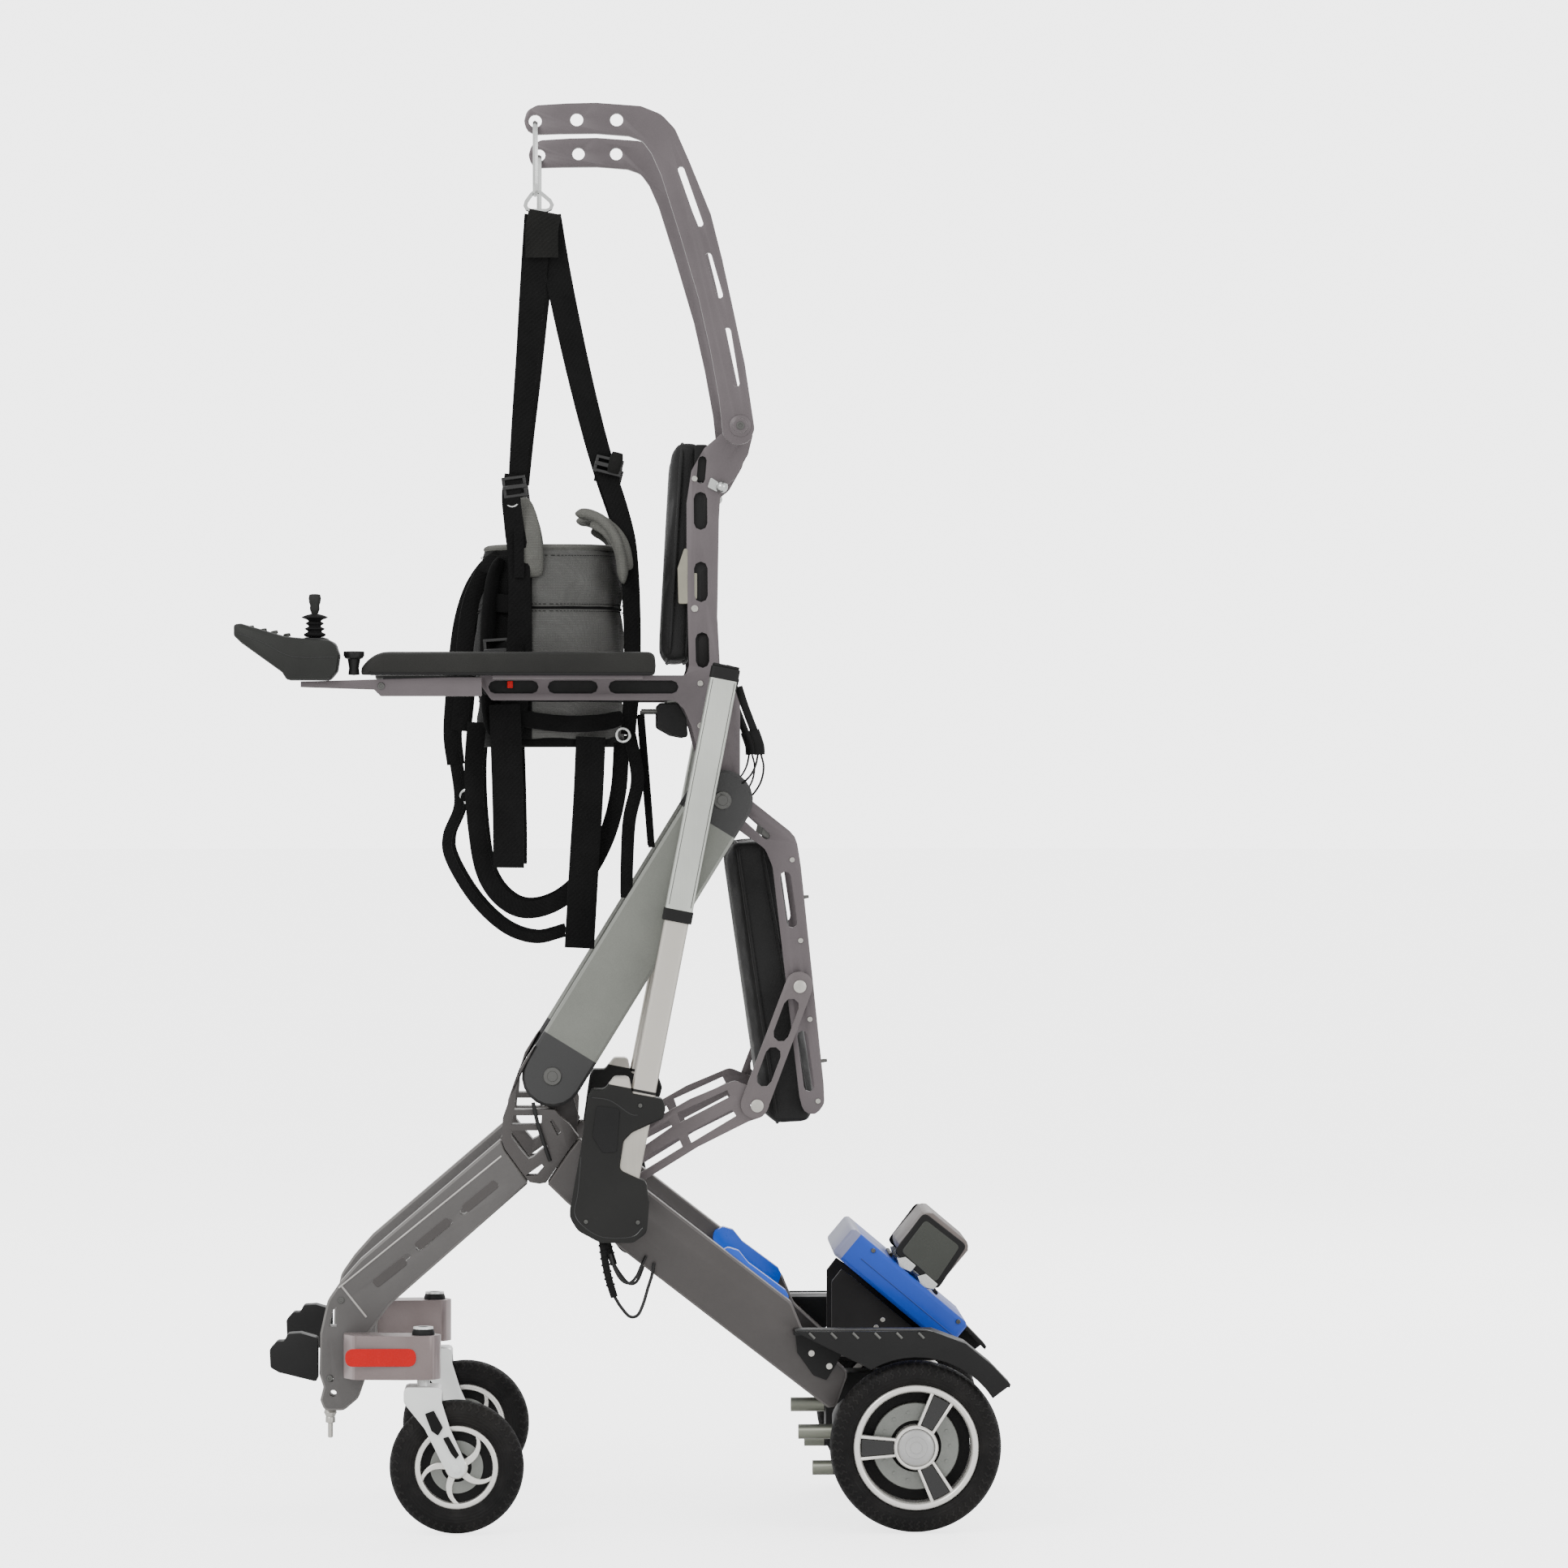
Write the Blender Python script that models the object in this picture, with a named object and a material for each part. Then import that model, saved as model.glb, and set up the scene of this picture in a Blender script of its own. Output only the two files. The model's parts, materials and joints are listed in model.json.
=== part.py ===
"""Sit to stand lift: a powered standing frame with a body harness.

The user sits or stands facing -X, between the two side frames. +Z is up, the origin is on the floor
under the middle of the machine. Left is -Y. Lengths in the tables are millimetres; the meshes are metres.
"""

import math

import bmesh
import bpy
from mathutils import Matrix, Vector

for old in list(bpy.data.objects):
    bpy.data.objects.remove(old, do_unlink=True)

MM = 0.001
SHIFT_X = -1.6  # moves the whole machine so that the origin is under the middle of it

# ---- driving dimensions (x, z of each pivot, y of each layer) --------------------------------------
COLUMN_FOOT = (-96.8, 636.2)
COLUMN_HEAD = (141.8, 1023.1)
ACTUATOR_FOOT = (-1.0, 453.7)
ACTUATOR_HEAD = (144.3, 1200.5)
SEAT_LINK_PIN = (251, 761)
SEAT_ARM_PIN = (188, 593)
SEAT_ARM_ROOT = (-29, 492)
HANGER_PIVOT = (166.5, 1548.1)
HOOK_HOLE = (-120.5, 1974.0)
CASTER_SWIVEL_X = -276.5
CASTER_AXLE = (-230.0, 93.8)
CASTER_RADIUS = 93.8
DRIVE_AXLE = (411.0, 120.0)
DRIVE_RADIUS = 120.0
WHEEL_Y = 270.0
FRAME_IN, FRAME_OUT = 195.0, 235.0  # side rails, front legs and columns
CHEEK_IN, CHEEK_OUT = 180.0, 194.6
PLATE_IN, PLATE_OUT = 184.0, 190.0  # carriage side plates
SEAT_IN, SEAT_OUT = 157.0, 163.0
ARM_IN, ARM_OUT = 167.0, 173.0
LINK_IN, LINK_OUT = 176.5, 181.5
ACT_Y = 262.0
SHAFT_R = 10.0
GAP = 0.4


# ---- materials --------------------------------------------------------------------------------------
def material(name, colour, roughness, metallic):
    mat = bpy.data.materials.new(name)
    mat.use_nodes = True
    mat.diffuse_color = (*colour, 1)
    bsdf = mat.node_tree.nodes["Principled BSDF"]
    bsdf.inputs["Base Color"].default_value = (*colour, 1)
    bsdf.inputs["Roughness"].default_value = roughness
    bsdf.inputs["Metallic"].default_value = metallic
    return mat


GREY_PAINT = material("grey_brown_paint", (0.115, 0.105, 0.105), 0.45, 0.5)
RAIL_PAINT = material("rail_paint", (0.085, 0.078, 0.075), 0.45, 0.5)
COLUMN_GREY = material("column_anodised", (0.18, 0.19, 0.175), 0.4, 0.6)
ALUMINIUM = material("satin_aluminium", (0.42, 0.42, 0.39), 0.35, 0.8)
STEEL = material("bright_steel", (0.55, 0.55, 0.53), 0.25, 1.0)
BLACK = material("black_plastic", (0.02, 0.02, 0.019), 0.5, 0.0)
RUBBER = material("tyre_rubber", (0.012, 0.012, 0.012), 0.8, 0.0)
LEATHER = material("pad_leatherette", (0.022, 0.022, 0.021), 0.55, 0.0)
WEBBING = material("black_webbing", (0.012, 0.012, 0.012), 0.85, 0.0)
FABRIC = material("grey_fabric", (0.16, 0.16, 0.155), 0.9, 0.0)
BLUE = material("blue_plastic", (0.03, 0.2, 0.6), 0.35, 0.0)
LAVENDER = material("battery_case_paint", (0.28, 0.29, 0.4), 0.4, 0.1)
SILVER = material("silver_paint", (0.55, 0.57, 0.55), 0.35, 0.6)
SHELL = material("shell_plastic", (0.17, 0.15, 0.14), 0.5, 0.0)
BROWN = material("caster_arm_paint", (0.3, 0.24, 0.24), 0.4, 0.5)


# ---- outline helpers, all in the side view (x, z) -----------------------------------------------------
def circle(centre, radius, count=16, start=0.0, sweep=360.0):
    steps = count if sweep >= 360 else count + 1
    return [
        (
            centre[0] + radius * math.cos(math.radians(start + sweep * i / count)),
            centre[1] + radius * math.sin(math.radians(start + sweep * i / count)),
        )
        for i in range(steps)
    ]


def slot(p, q, width, count=4):
    """A stadium of this width whose round ends reach p and q."""
    a, b = Vector(p), Vector(q)
    along = (b - a).normalized()
    r = width / 2
    a, b = a + along * r, b - along * r
    turn = math.degrees(math.atan2(along.y, along.x))
    return circle(b, r, count, turn - 90, 180) + circle(a, r, count, turn + 90, 180)


def rounded(points, radius, count=2):
    """The polygon with each corner rounded; radius may be one number or one for each corner."""
    out = []
    n = len(points)
    radii = radius if isinstance(radius, (list, tuple)) else [radius] * n
    for i in range(n):
        p, c, q = (Vector(points[(i + k) % n]) for k in (-1, 0, 1))
        r = radii[i]
        u, v = (p - c), (q - c)
        lu, lv = u.length, v.length
        u.normalize()
        v.normalize()
        half = math.acos(max(-1.0, min(1.0, u.dot(v)))) / 2
        if r <= 0 or half > math.radians(84) or half < 0.05:
            out.append(tuple(c))
            continue
        d = min(r / math.tan(half), 0.48 * lu, 0.48 * lv)
        r = d * math.tan(half)
        centre = c + (u + v).normalized() * (r / math.sin(half))
        s, e = c + u * d - centre, c + v * d - centre
        a0 = math.atan2(s.y, s.x)
        a1 = math.atan2(e.y, e.x)
        while a1 - a0 > math.pi:
            a1 -= 2 * math.pi
        while a1 - a0 < -math.pi:
            a1 += 2 * math.pi
        for k in range(count + 1):
            t = a0 + (a1 - a0) * k / count
            out.append((centre.x + r * math.cos(t), centre.y + r * math.sin(t)))
    return out


def smooth_line(points, count):
    """A Catmull-Rom curve through the points, read at count places."""
    pts = [Vector(p) for p in points]
    pts = [pts[0] * 2 - pts[1]] + pts + [pts[-1] * 2 - pts[-2]]
    out = []
    spans = len(pts) - 3
    for i in range(count):
        t = i / (count - 1) * spans
        k = min(int(t), spans - 1)
        f = t - k
        a, b, c, d = pts[k : k + 4]
        out.append(
            0.5 * (2 * b + (c - a) * f + (2 * a - 5 * b + 4 * c - d) * f * f + (3 * b - a - 3 * c + d) * f ** 3)
        )
    return out


def band(points, widths, count=16):
    """The outline of a curved strip: centre line points and the width at each of them."""
    line = smooth_line([(*p, w) for p, w in zip(points, widths)], count)
    left, right = [], []
    for i, p in enumerate(line):
        t = Vector((line[min(i + 1, count - 1)] - line[max(i - 1, 0)])[:2]).normalized()
        n = Vector((-t.y, t.x)) * p[2] / 2
        left.append((p[0] + n.x, p[1] + n.y))
        right.append((p[0] - n.x, p[1] - n.y))
    return left + right[::-1]


# ---- solids -------------------------------------------------------------------------------------------
ROOTS = {}


def finish(bm, name, mat, parent=None, smooth=False, cutter=False):
    bmesh.ops.remove_doubles(bm, verts=bm.verts, dist=0.002)
    bmesh.ops.recalc_face_normals(bm, faces=bm.faces)
    if sum(f.calc_center_median().dot(f.normal) * f.calc_area() for f in bm.faces) < 0:
        bmesh.ops.reverse_faces(bm, faces=bm.faces)
    bmesh.ops.transform(bm, matrix=Matrix.Scale(MM, 4) @ Matrix.Translation((SHIFT_X, 0, 0)), verts=bm.verts)
    mesh = bpy.data.meshes.new(name)
    bm.to_mesh(mesh)
    bm.free()
    obj = bpy.data.objects.new(name, mesh)
    bpy.context.scene.collection.objects.link(obj)
    if mat:
        mesh.materials.append(mat)
    if smooth:
        for poly in mesh.polygons:
            poly.use_smooth = True
        mesh.set_sharp_from_angle(angle=math.radians(35))
    if cutter:
        obj.hide_render = True
        obj.display_type = "WIRE"
    if parent:
        obj.parent = parent
        obj.matrix_parent_inverse = parent.matrix_world.inverted()
    return obj


def prism(bm, outline, y0, y1):
    """Extrudes a side-view outline from y0 to y1."""
    low, high = sorted((y0, y1))
    verts = [bm.verts.new((x, low, z)) for x, z in outline]
    face = bm.faces.new(verts)
    made = bmesh.ops.extrude_face_region(bm, geom=[face])
    moved = [v for v in made["geom"] if isinstance(v, bmesh.types.BMVert)]
    bmesh.ops.translate(bm, verts=moved, vec=(0, high - low, 0))


def rod(bm, p, q, radius, count=12, radius2=None):
    """A cylinder or cone from point p to point q."""
    p, q = Vector(p), Vector(q)
    axis = q - p
    mat = Matrix.Translation((p + q) / 2) @ axis.to_track_quat("Z", "Y").to_matrix().to_4x4()
    bmesh.ops.create_cone(
        bm, cap_ends=True, segments=count, radius1=radius, radius2=radius if radius2 is None else radius2,
        depth=axis.length, matrix=mat,
    )


def box(bm, centre, size, turn=0.0):
    """A box turned about Y (clockwise in the side view)."""
    mat = (
        Matrix.Translation(centre)
        @ Matrix.Rotation(math.radians(turn), 4, "Y")
        @ Matrix.Diagonal((*size, 1))
    )
    bmesh.ops.create_cube(bm, size=1.0, matrix=mat)


def cut(obj, cutter, operation="DIFFERENCE"):
    mod = obj.modifiers.new("cut" if operation == "DIFFERENCE" else "join", "BOOLEAN")
    mod.operation = operation
    mod.solver = "EXACT"
    mod.object = cutter


def soften(obj, width, segments=2, angle=40):
    mod = obj.modifiers.new("edge", "BEVEL")
    mod.width = width * MM
    mod.segments = segments
    mod.limit_method = "ANGLE"
    mod.angle_limit = math.radians(angle)


def plate(name, outline, y0, y1, mat, parent=None, holes=(), edge=0.0, join=None, smooth=False):
    """A plate with through holes; the holes are cut by one hidden cutter."""
    bm = bmesh.new()
    prism(bm, outline, y0, y1)
    obj = finish(bm, name, mat, parent, smooth)
    if edge:
        soften(obj, edge, 1)
    if join:
        add = bmesh.new()
        join(add)
        cut(obj, finish(add, name + "_boss", None, parent, cutter=True), "UNION")
    if holes:
        low, high = sorted((y0, y1))
        low, high = low - 90 if join else low - 5, high + 90 if join else high + 5
        hb = bmesh.new()
        for hole in holes:
            prism(hb, hole, low, high)
        cut(obj, finish(hb, name + "_holes", None, parent, cutter=True))
    return obj


def turned(name, profile, centre, mat, parent=None, steps=40, axis="Y"):
    """Turns a closed (radius, along) profile about an axis through centre. axis is Y or Z."""
    bm = bmesh.new()
    if axis == "Y":
        verts = [bm.verts.new((r, a, 0)) for r, a in profile]
        spin_axis = (0, 1, 0)
    else:
        verts = [bm.verts.new((r, 0, a)) for r, a in profile]
        spin_axis = (0, 0, 1)
    edges = [bm.edges.new((verts[i], verts[(i + 1) % len(verts)])) for i in range(len(verts))]
    bmesh.ops.spin(
        bm, geom=verts + edges, cent=(0, 0, 0), axis=spin_axis, angle=math.tau, steps=steps, use_merge=True
    )
    bmesh.ops.translate(bm, verts=bm.verts, vec=centre)
    return finish(bm, name, mat, parent, smooth=True)


def loft(bm, rings):
    """Closed skin over rings of points, capped at both ends."""
    rows = [[bm.verts.new(p) for p in ring] for ring in rings]
    n = len(rows[0])
    for a, b in zip(rows, rows[1:]):
        for i in range(n):
            bm.faces.new((a[i], a[(i + 1) % n], b[(i + 1) % n], b[i]))
    bm.faces.new(rows[0][::-1])
    bm.faces.new(rows[-1])


def empty(name, x, y, z, parent=None):
    obj = bpy.data.objects.new(name, None)
    obj.empty_display_size = 0.05
    bpy.context.scene.collection.objects.link(obj)
    if parent:
        obj.parent = parent
    world = Matrix.Translation(((x + SHIFT_X) * MM, y * MM, z * MM))
    obj.matrix_parent_inverse = parent.matrix_world.inverted() if parent else Matrix()
    obj.matrix_basis = world
    bpy.context.view_layer.update()
    return obj


def side_name(s):
    return "left" if s < 0 else "right"


# ---- joint axes ------------------------------------------------------------------------------------------
BASE = empty("base", 0, 0, 0)
LIFT = empty("lift_axis", COLUMN_FOOT[0], 0, COLUMN_FOOT[1], BASE)
CARRIAGE = empty("carriage_axis", COLUMN_HEAD[0], 0, COLUMN_HEAD[1], LIFT)
ACT_LOW = empty("actuator_foot_axis", ACTUATOR_FOOT[0], 0, ACTUATOR_FOOT[1], BASE)
ACT_ROD = empty("actuator_rod_slide", ACTUATOR_HEAD[0], 0, ACTUATOR_HEAD[1], ACT_LOW)
SEAT = empty("seat_axis", COLUMN_HEAD[0], 0, COLUMN_HEAD[1], CARRIAGE)
LINK = empty("seat_link_axis", SEAT_LINK_PIN[0], 0, SEAT_LINK_PIN[1], SEAT)
ARM = empty("seat_arm_axis", SEAT_ARM_ROOT[0], 0, SEAT_ARM_ROOT[1], BASE)
HANGER = empty("hanger_axis", HANGER_PIVOT[0], 0, HANGER_PIVOT[1], CARRIAGE)
HARNESS = empty("harness_axis", HOOK_HOLE[0], 0, HOOK_HOLE[1], HANGER)

# ---- side frames -----------------------------------------------------------------------------------------
RAIL = [(-59.7, 549.4), (238.8, 317.7), (255.9, 276.6), (318.7, 219.6), (301.6, 171.6), (290.2, 169.4), (4.8, 389.6), (-77.3, 459.3), (-104.7, 486.1), (-73.9, 531.2)]
LEG = [(-168.7, 548.3), (-366.1, 379.4), (-393.5, 348.6), (-411.8, 322.3), (-422.0, 276.6), (-423.2, 219.6), (-417.5, 201.3), (-422.0, 183.1), (-416.3, 168.2), (-388.9, 168.2), (-368.4, 185.3), (-360.4, 208.2), (-358.1, 270.9), (-325.0, 315.5), (-129.9, 486.7), (-143.5, 504.9), (-164.1, 533.4)]
LEG_SLOTS = [
    slot((-225.7, 443.3), (-173.2, 486.7), 9),
    slot((-287.4, 393.1), (-237.1, 435.3), 9),
    slot((-344.4, 346.3), (-296.5, 387.4), 9),
]
LEG_WINDOW = [(-409.5, 285.8), (-399.2, 285.8), (-398.1, 315.5), (-406.1, 306.3)]
APEX = [(-169.0, 549.7), (-167.5, 552.9), (-166.4, 578.0), (-157.2, 604.2), (-143.5, 637.3), (-129.3, 663.6), (-120.7, 679.5), (-123.0, 677.3), (-132.7, 662.4), (-142.4, 646.4), (-146.4, 632.7), (-148.7, 613.3), (-150.4, 589.4), (-102.5, 589.4), (-93.3, 588.8), (-86.5, 580.2), (-72.8, 568.8), (-60.3, 551.0), (-74.7, 532.0), (-105.7, 487.1), (-115.0, 485.5), (-128.9, 487.8), (-142.6, 505.6), (-163.2, 534.1)]
APEX_WINDOWS = [
    [(-152.7, 581.4), (-111.6, 581.4), (-112.7, 568.3), (-153.8, 568.3)],
    [(-155.0, 560.3), (-116.2, 560.3), (-111.6, 548.3), (-102.5, 536.9), (-111.6, 533.4), (-123.0, 523.2), (-129.9, 519.8), (-143.5, 535.7), (-153.8, 549.4)],
    [(-134.4, 496.9), (-111.6, 512.9), (-108.2, 508.3), (-118.4, 496.9)],
    [(-100.2, 573.4), (-96.8, 576.8), (-84.2, 557.4), (-89.9, 552.9)],
]
CHEEK = circle(COLUMN_FOOT, 34, 16, -40, 280) + [(-102.7, 590.2), (-91.3, 565.0), (-75.2, 535.2), (-62.6, 551.2), (-61.5, 583.3)]
BUMPER = [(-492.8, 253.8), (-482.5, 265.2), (-472.3, 265.2), (-467.7, 275.5), (-449.4, 276.6), (-425.5, 269.8), (-425.5, 208.2), (-480.2, 221.9), (-491.7, 228.7)]
GUARD = [(135.4, 374.9), (137.7, 385.2), (150.3, 392.1), (165.2, 387.5), (178.9, 370.4), (231.6, 331.4), (236.1, 322.3), (229.3, 301.7), (153.7, 337.2)]
MOTOR = [(300, 150), (300, 80), (312, 54), (440, 54), (455, 75), (455, 165), (430, 182), (330, 182), (306, 162)]
FENDER_CENTRE = DRIVE_AXLE
FENDER_TOP = [(242.1, 282.9), (434.4, 282.9), (479.6, 265.9), (515.8, 236.5), (543.0, 208.2)]
FENDER_FLANGE = [(243.3, 280.6), (316.8, 280.6), (316.8, 259.1), (298.7, 227.4), (287.4, 209.3), (269.3, 216.1), (246.7, 247.8)]
DECK_Z = 232.0

for s in (-1, 1):
    tag = side_name(s)
    a, b = s * FRAME_IN, s * FRAME_OUT

    def arm_root_boss(bm, s=s):
        rod(bm, (SEAT_ARM_ROOT[0], s * (ARM_OUT + GAP), SEAT_ARM_ROOT[1]), (SEAT_ARM_ROOT[0], s * (FRAME_IN + 8), SEAT_ARM_ROOT[1]), 13)
        rod(bm, (ACTUATOR_FOOT[0], s * (FRAME_OUT - 8), ACTUATOR_FOOT[1]), (ACTUATOR_FOOT[0], s * (ACT_Y - 22.5), ACTUATOR_FOOT[1]), 13)

    plate("rear_rail_" + tag, rounded(RAIL, [0, 12, 20, 12, 6, 6, 0, 8, 0, 0]), a, b, RAIL_PAINT, BASE, edge=3, join=arm_root_boss)
    plate("front_leg_" + tag, rounded(LEG, [0, 30, 20, 20, 20, 8, 4, 4, 8, 10, 16, 14, 10, 10, 0, 0, 0]), a, b, GREY_PAINT, BASE, holes=LEG_SLOTS + [LEG_WINDOW, circle((-406.1, 211.6), 3, 10), circle((-403.8, 192.2), 5, 10)], edge=3)

    def cheek(bm, s=s):
        prism(bm, CHEEK, s * CHEEK_IN, s * CHEEK_OUT)

    def foot_pin(bm, s=s):
        rod(bm, (COLUMN_FOOT[0], s * (CHEEK_IN + 4), COLUMN_FOOT[1]), (COLUMN_FOOT[0], s * (FRAME_OUT - 4), COLUMN_FOOT[1]), SHAFT_R, 16)

    apex = plate("apex_bracket_" + tag, APEX, s * 190, b, GREY_PAINT, BASE)
    for maker, label in ((cheek, "_cheek"), (foot_pin, "_pin")):
        add = bmesh.new()
        maker(add)
        cut(apex, finish(add, "apex_bracket_" + tag + label, None, BASE, cutter=True), "UNION")
    hb = bmesh.new()
    for hole in APEX_WINDOWS:
        prism(hb, hole, s * (CHEEK_IN - 10), s * (FRAME_OUT + 10))
    cut(apex, finish(hb, "apex_bracket_" + tag + "_windows", None, BASE, cutter=True))

    # black ribbed bumper in front of each leg
    bumper = plate("front_bumper_" + tag, rounded(BUMPER, 4), s * 198, s * 232, BLACK, BASE)

    # arm that carries the caster swivel, bent outwards from the leg
    bm = bmesh.new()
    low, high = 217.0, 278.0
    inner = s * (FRAME_OUT + GAP)
    path = [(-388, inner), (-388, s * 262), (-372, s * 290), (-300, s * 297), (-262, s * 292), (-250, s * 270), (-262, s * 248), (-300, s * 246), (-330, s * 244), (-345, inner)]
    verts = [bm.verts.new((x, y, low)) for x, y in rounded(path, [0, 12, 12, 10, 12, 14, 12, 0, 0, 0])]
    face = bm.faces.new(verts)
    made = bmesh.ops.extrude_face_region(bm, geom=[face])
    bmesh.ops.translate(bm, verts=[v for v in made["geom"] if isinstance(v, bmesh.types.BMVert)], vec=(0, 0, high - low))
    arm = finish(bm, "caster_arm_" + tag, BROWN, BASE)
    hb = bmesh.new()
    rod(hb, (CASTER_SWIVEL_X, s * WHEEL_Y, low - 20), (CASTER_SWIVEL_X, s * WHEEL_Y, high + 20), 9.0 + GAP, 16)
    cut(arm, finish(hb, "caster_arm_" + tag + "_bore", None, BASE, cutter=True))

    # drive motor and its gear case
    def motor_stub(bm, s=s):
        rod(bm, (250, s * 175, 130), (330, s * 175, 130), 10.5, 12)
        rod(bm, (270, s * 175, 79), (330, s * 175, 79), 10.5, 12)
        rod(bm, (DRIVE_AXLE[0], s * 182, DRIVE_AXLE[1]), (DRIVE_AXLE[0], s * (WHEEL_Y + 18), DRIVE_AXLE[1]), 9.5, 16)

    plate("drive_motor_" + tag, rounded(MOTOR, 12), s * 120, s * 190, BLACK, BASE, join=motor_stub)

    # mudguard over the drive wheel: a top strip, an outer skirt and a flange on the rail
    arc = circle(FENDER_CENTRE, DRIVE_RADIUS + 7, 12, 33, 87)
    top = FENDER_TOP
    skirt = top + arc[::-1][1:][::-1][::-1]
    bm = bmesh.new()
    prism(bm, top + arc, s * 293, s * 298)
    fender = finish(bm, "fender_" + tag, BLACK, BASE)
    strip = bmesh.new()
    prism(strip, top + [(x - 2.5, z - 5) for x, z in top[::-1]], s * (FRAME_OUT + GAP), s * 296)
    cut(fender, finish(strip, "fender_" + tag + "_top", None, BASE, cutter=True), "UNION")
    flange = bmesh.new()
    prism(flange, FENDER_FLANGE, s * (FRAME_OUT + GAP), s * (FRAME_OUT + 4))
    cut(fender, finish(flange, "fender_" + tag + "_flange", None, BASE, cutter=True), "UNION")

    # blue guard clipped to the rail
    plate("rail_guard_" + tag, rounded(GUARD, 4), s * 172, s * (FRAME_IN - GAP), BLUE, BASE)

# ---- chassis deck, battery and control unit between the side frames --------------------------------------
BATTERY_CENTRE, BATTERY_SIZE, CONTROL_CENTRE, CONTROL_SIZE, TILT = (397, 0, 327), (215, 252, 47), (446, 0, 383), (82, 196, 74), 40.0
INNER = FRAME_IN - GAP
bm = bmesh.new()
prism(bm, [(255, 238), (255, 196), (262, 190), (290, 190), (290, DECK_Z), (482, DECK_Z), (482, DECK_Z + 6), (262, DECK_Z + 6)], -INNER, INNER)
chassis = finish(bm, "rear_chassis", RAIL_PAINT, BASE)
for y in (-96, 96):
    add = bmesh.new()
    prism(add, [(300, DECK_Z + 3), (300, 335), (314, 353), (328, 343), (446, 244), (450, DECK_Z + 3)], y - 3, y + 3)
    cut(chassis, finish(add, "battery_bracket_%d" % y, None, BASE, cutter=True), "UNION")
bm = bmesh.new()
box(bm, BATTERY_CENTRE, BATTERY_SIZE, TILT)
battery = finish(bm, "battery_case", LAVENDER, BASE)
soften(battery, 5, 2)
bm = bmesh.new()
box(bm, CONTROL_CENTRE, CONTROL_SIZE, TILT)
control = finish(bm, "control_unit", SHELL, BASE)
soften(control, 9, 2)

# ---- wheels ------------------------------------------------------------------------------------------------
for s in (-1, 1):
    tag = side_name(s)
    swivel = empty("caster_swivel_axis_" + tag, CASTER_SWIVEL_X, s * WHEEL_Y, 0, BASE)
    wheel_axis = empty("caster_wheel_axis_" + tag, CASTER_AXLE[0], s * WHEEL_Y, CASTER_AXLE[1], swivel)
    drive_axis = empty("drive_wheel_axis_" + tag, DRIVE_AXLE[0], s * WHEEL_Y, DRIVE_AXLE[1], BASE)

    # fork: crown, two legs, stem with its cap, and the axle
    bm = bmesh.new()
    leg_shape = rounded([(-303, 207), (-250, 207), (-250, 186), (-238, 148), (-218, 104), (-218, 88), (-228, 81), (-240, 84), (-250, 102), (-274, 150), (-303, 186)], [6, 6, 8, 0, 6, 6, 6, 6, 6, 10, 8])
    prism(bm, leg_shape, s * (WHEEL_Y - 30), s * (WHEEL_Y + 30))
    fork = finish(bm, "caster_fork_" + tag, SILVER, swivel)
    hb = bmesh.new()
    prism(hb, [(-400, -20), (-120, -20), (-120, 170), (CASTER_SWIVEL_X + 40, 196), (-400, 196)], s * (WHEEL_Y - 23.5), s * (WHEEL_Y + 23.5))
    cut(fork, finish(hb, "caster_fork_" + tag + "_gap", None, swivel, cutter=True))
    for label, p, q, r, n in (
        ("stem", (CASTER_SWIVEL_X, s * WHEEL_Y, 200), (CASTER_SWIVEL_X, s * WHEEL_Y, 284), 9.0, 16),
        ("cap", (CASTER_SWIVEL_X, s * WHEEL_Y, 278.5), (CASTER_SWIVEL_X, s * WHEEL_Y, 289), 14.0, 16),
        ("axle", (CASTER_AXLE[0], s * (WHEEL_Y - 33), CASTER_AXLE[1]), (CASTER_AXLE[0], s * (WHEEL_Y + 33), CASTER_AXLE[1]), 6.0, 12),
    ):
        add = bmesh.new()
        rod(add, p, q, r, n)
        cut(fork, finish(add, "caster_fork_" + tag + "_" + label, None, swivel, cutter=True), "UNION")

    r = CASTER_RADIUS
    turned(
        "caster_wheel_" + tag,
        [(6.4, -18), (16, -18), (18, -12), (52, -12), (57, -20), (80, -20), (r, -6), (r, 6), (80, 20), (57, 20), (52, 12), (18, 12), (16, 18), (6.4, 18)],
        (CASTER_AXLE[0], s * WHEEL_Y, CASTER_AXLE[1]), RUBBER, wheel_axis, 24,
    )
    r = DRIVE_RADIUS
    turned(
        "drive_tyre_" + tag,
        [(88.6, -20), (94, -25), (110, -24), (r, -8), (r, 8), (110, 24), (94, 25), (88.6, 20)],
        (DRIVE_AXLE[0], s * WHEEL_Y, DRIVE_AXLE[1]), RUBBER, drive_axis, 28,
    )
    rim = turned(
        "drive_rim_" + tag,
        [(10.2, -22), (26, -22), (28, -8), (70, -8), (78, -20), (88, -20), (88, 20), (78, 20), (70, 8), (28, 8), (26, 24), (10.2, 24)],
        (DRIVE_AXLE[0], s * WHEEL_Y, DRIVE_AXLE[1]), STEEL, drive_axis, 28,
    )

# ---- swinging columns -----------------------------------------------------------------------------------------
COLUMN_HALF = 43.0


def column_outline():
    foot, head = Vector(COLUMN_FOOT), Vector(COLUMN_HEAD)
    along = (head - foot).normalized()
    angle = math.degrees(math.atan2(along.y, along.x))
    return circle(head, COLUMN_HALF, 10, angle - 90, 180) + circle(foot, COLUMN_HALF, 10, angle + 90, 180)


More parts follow.
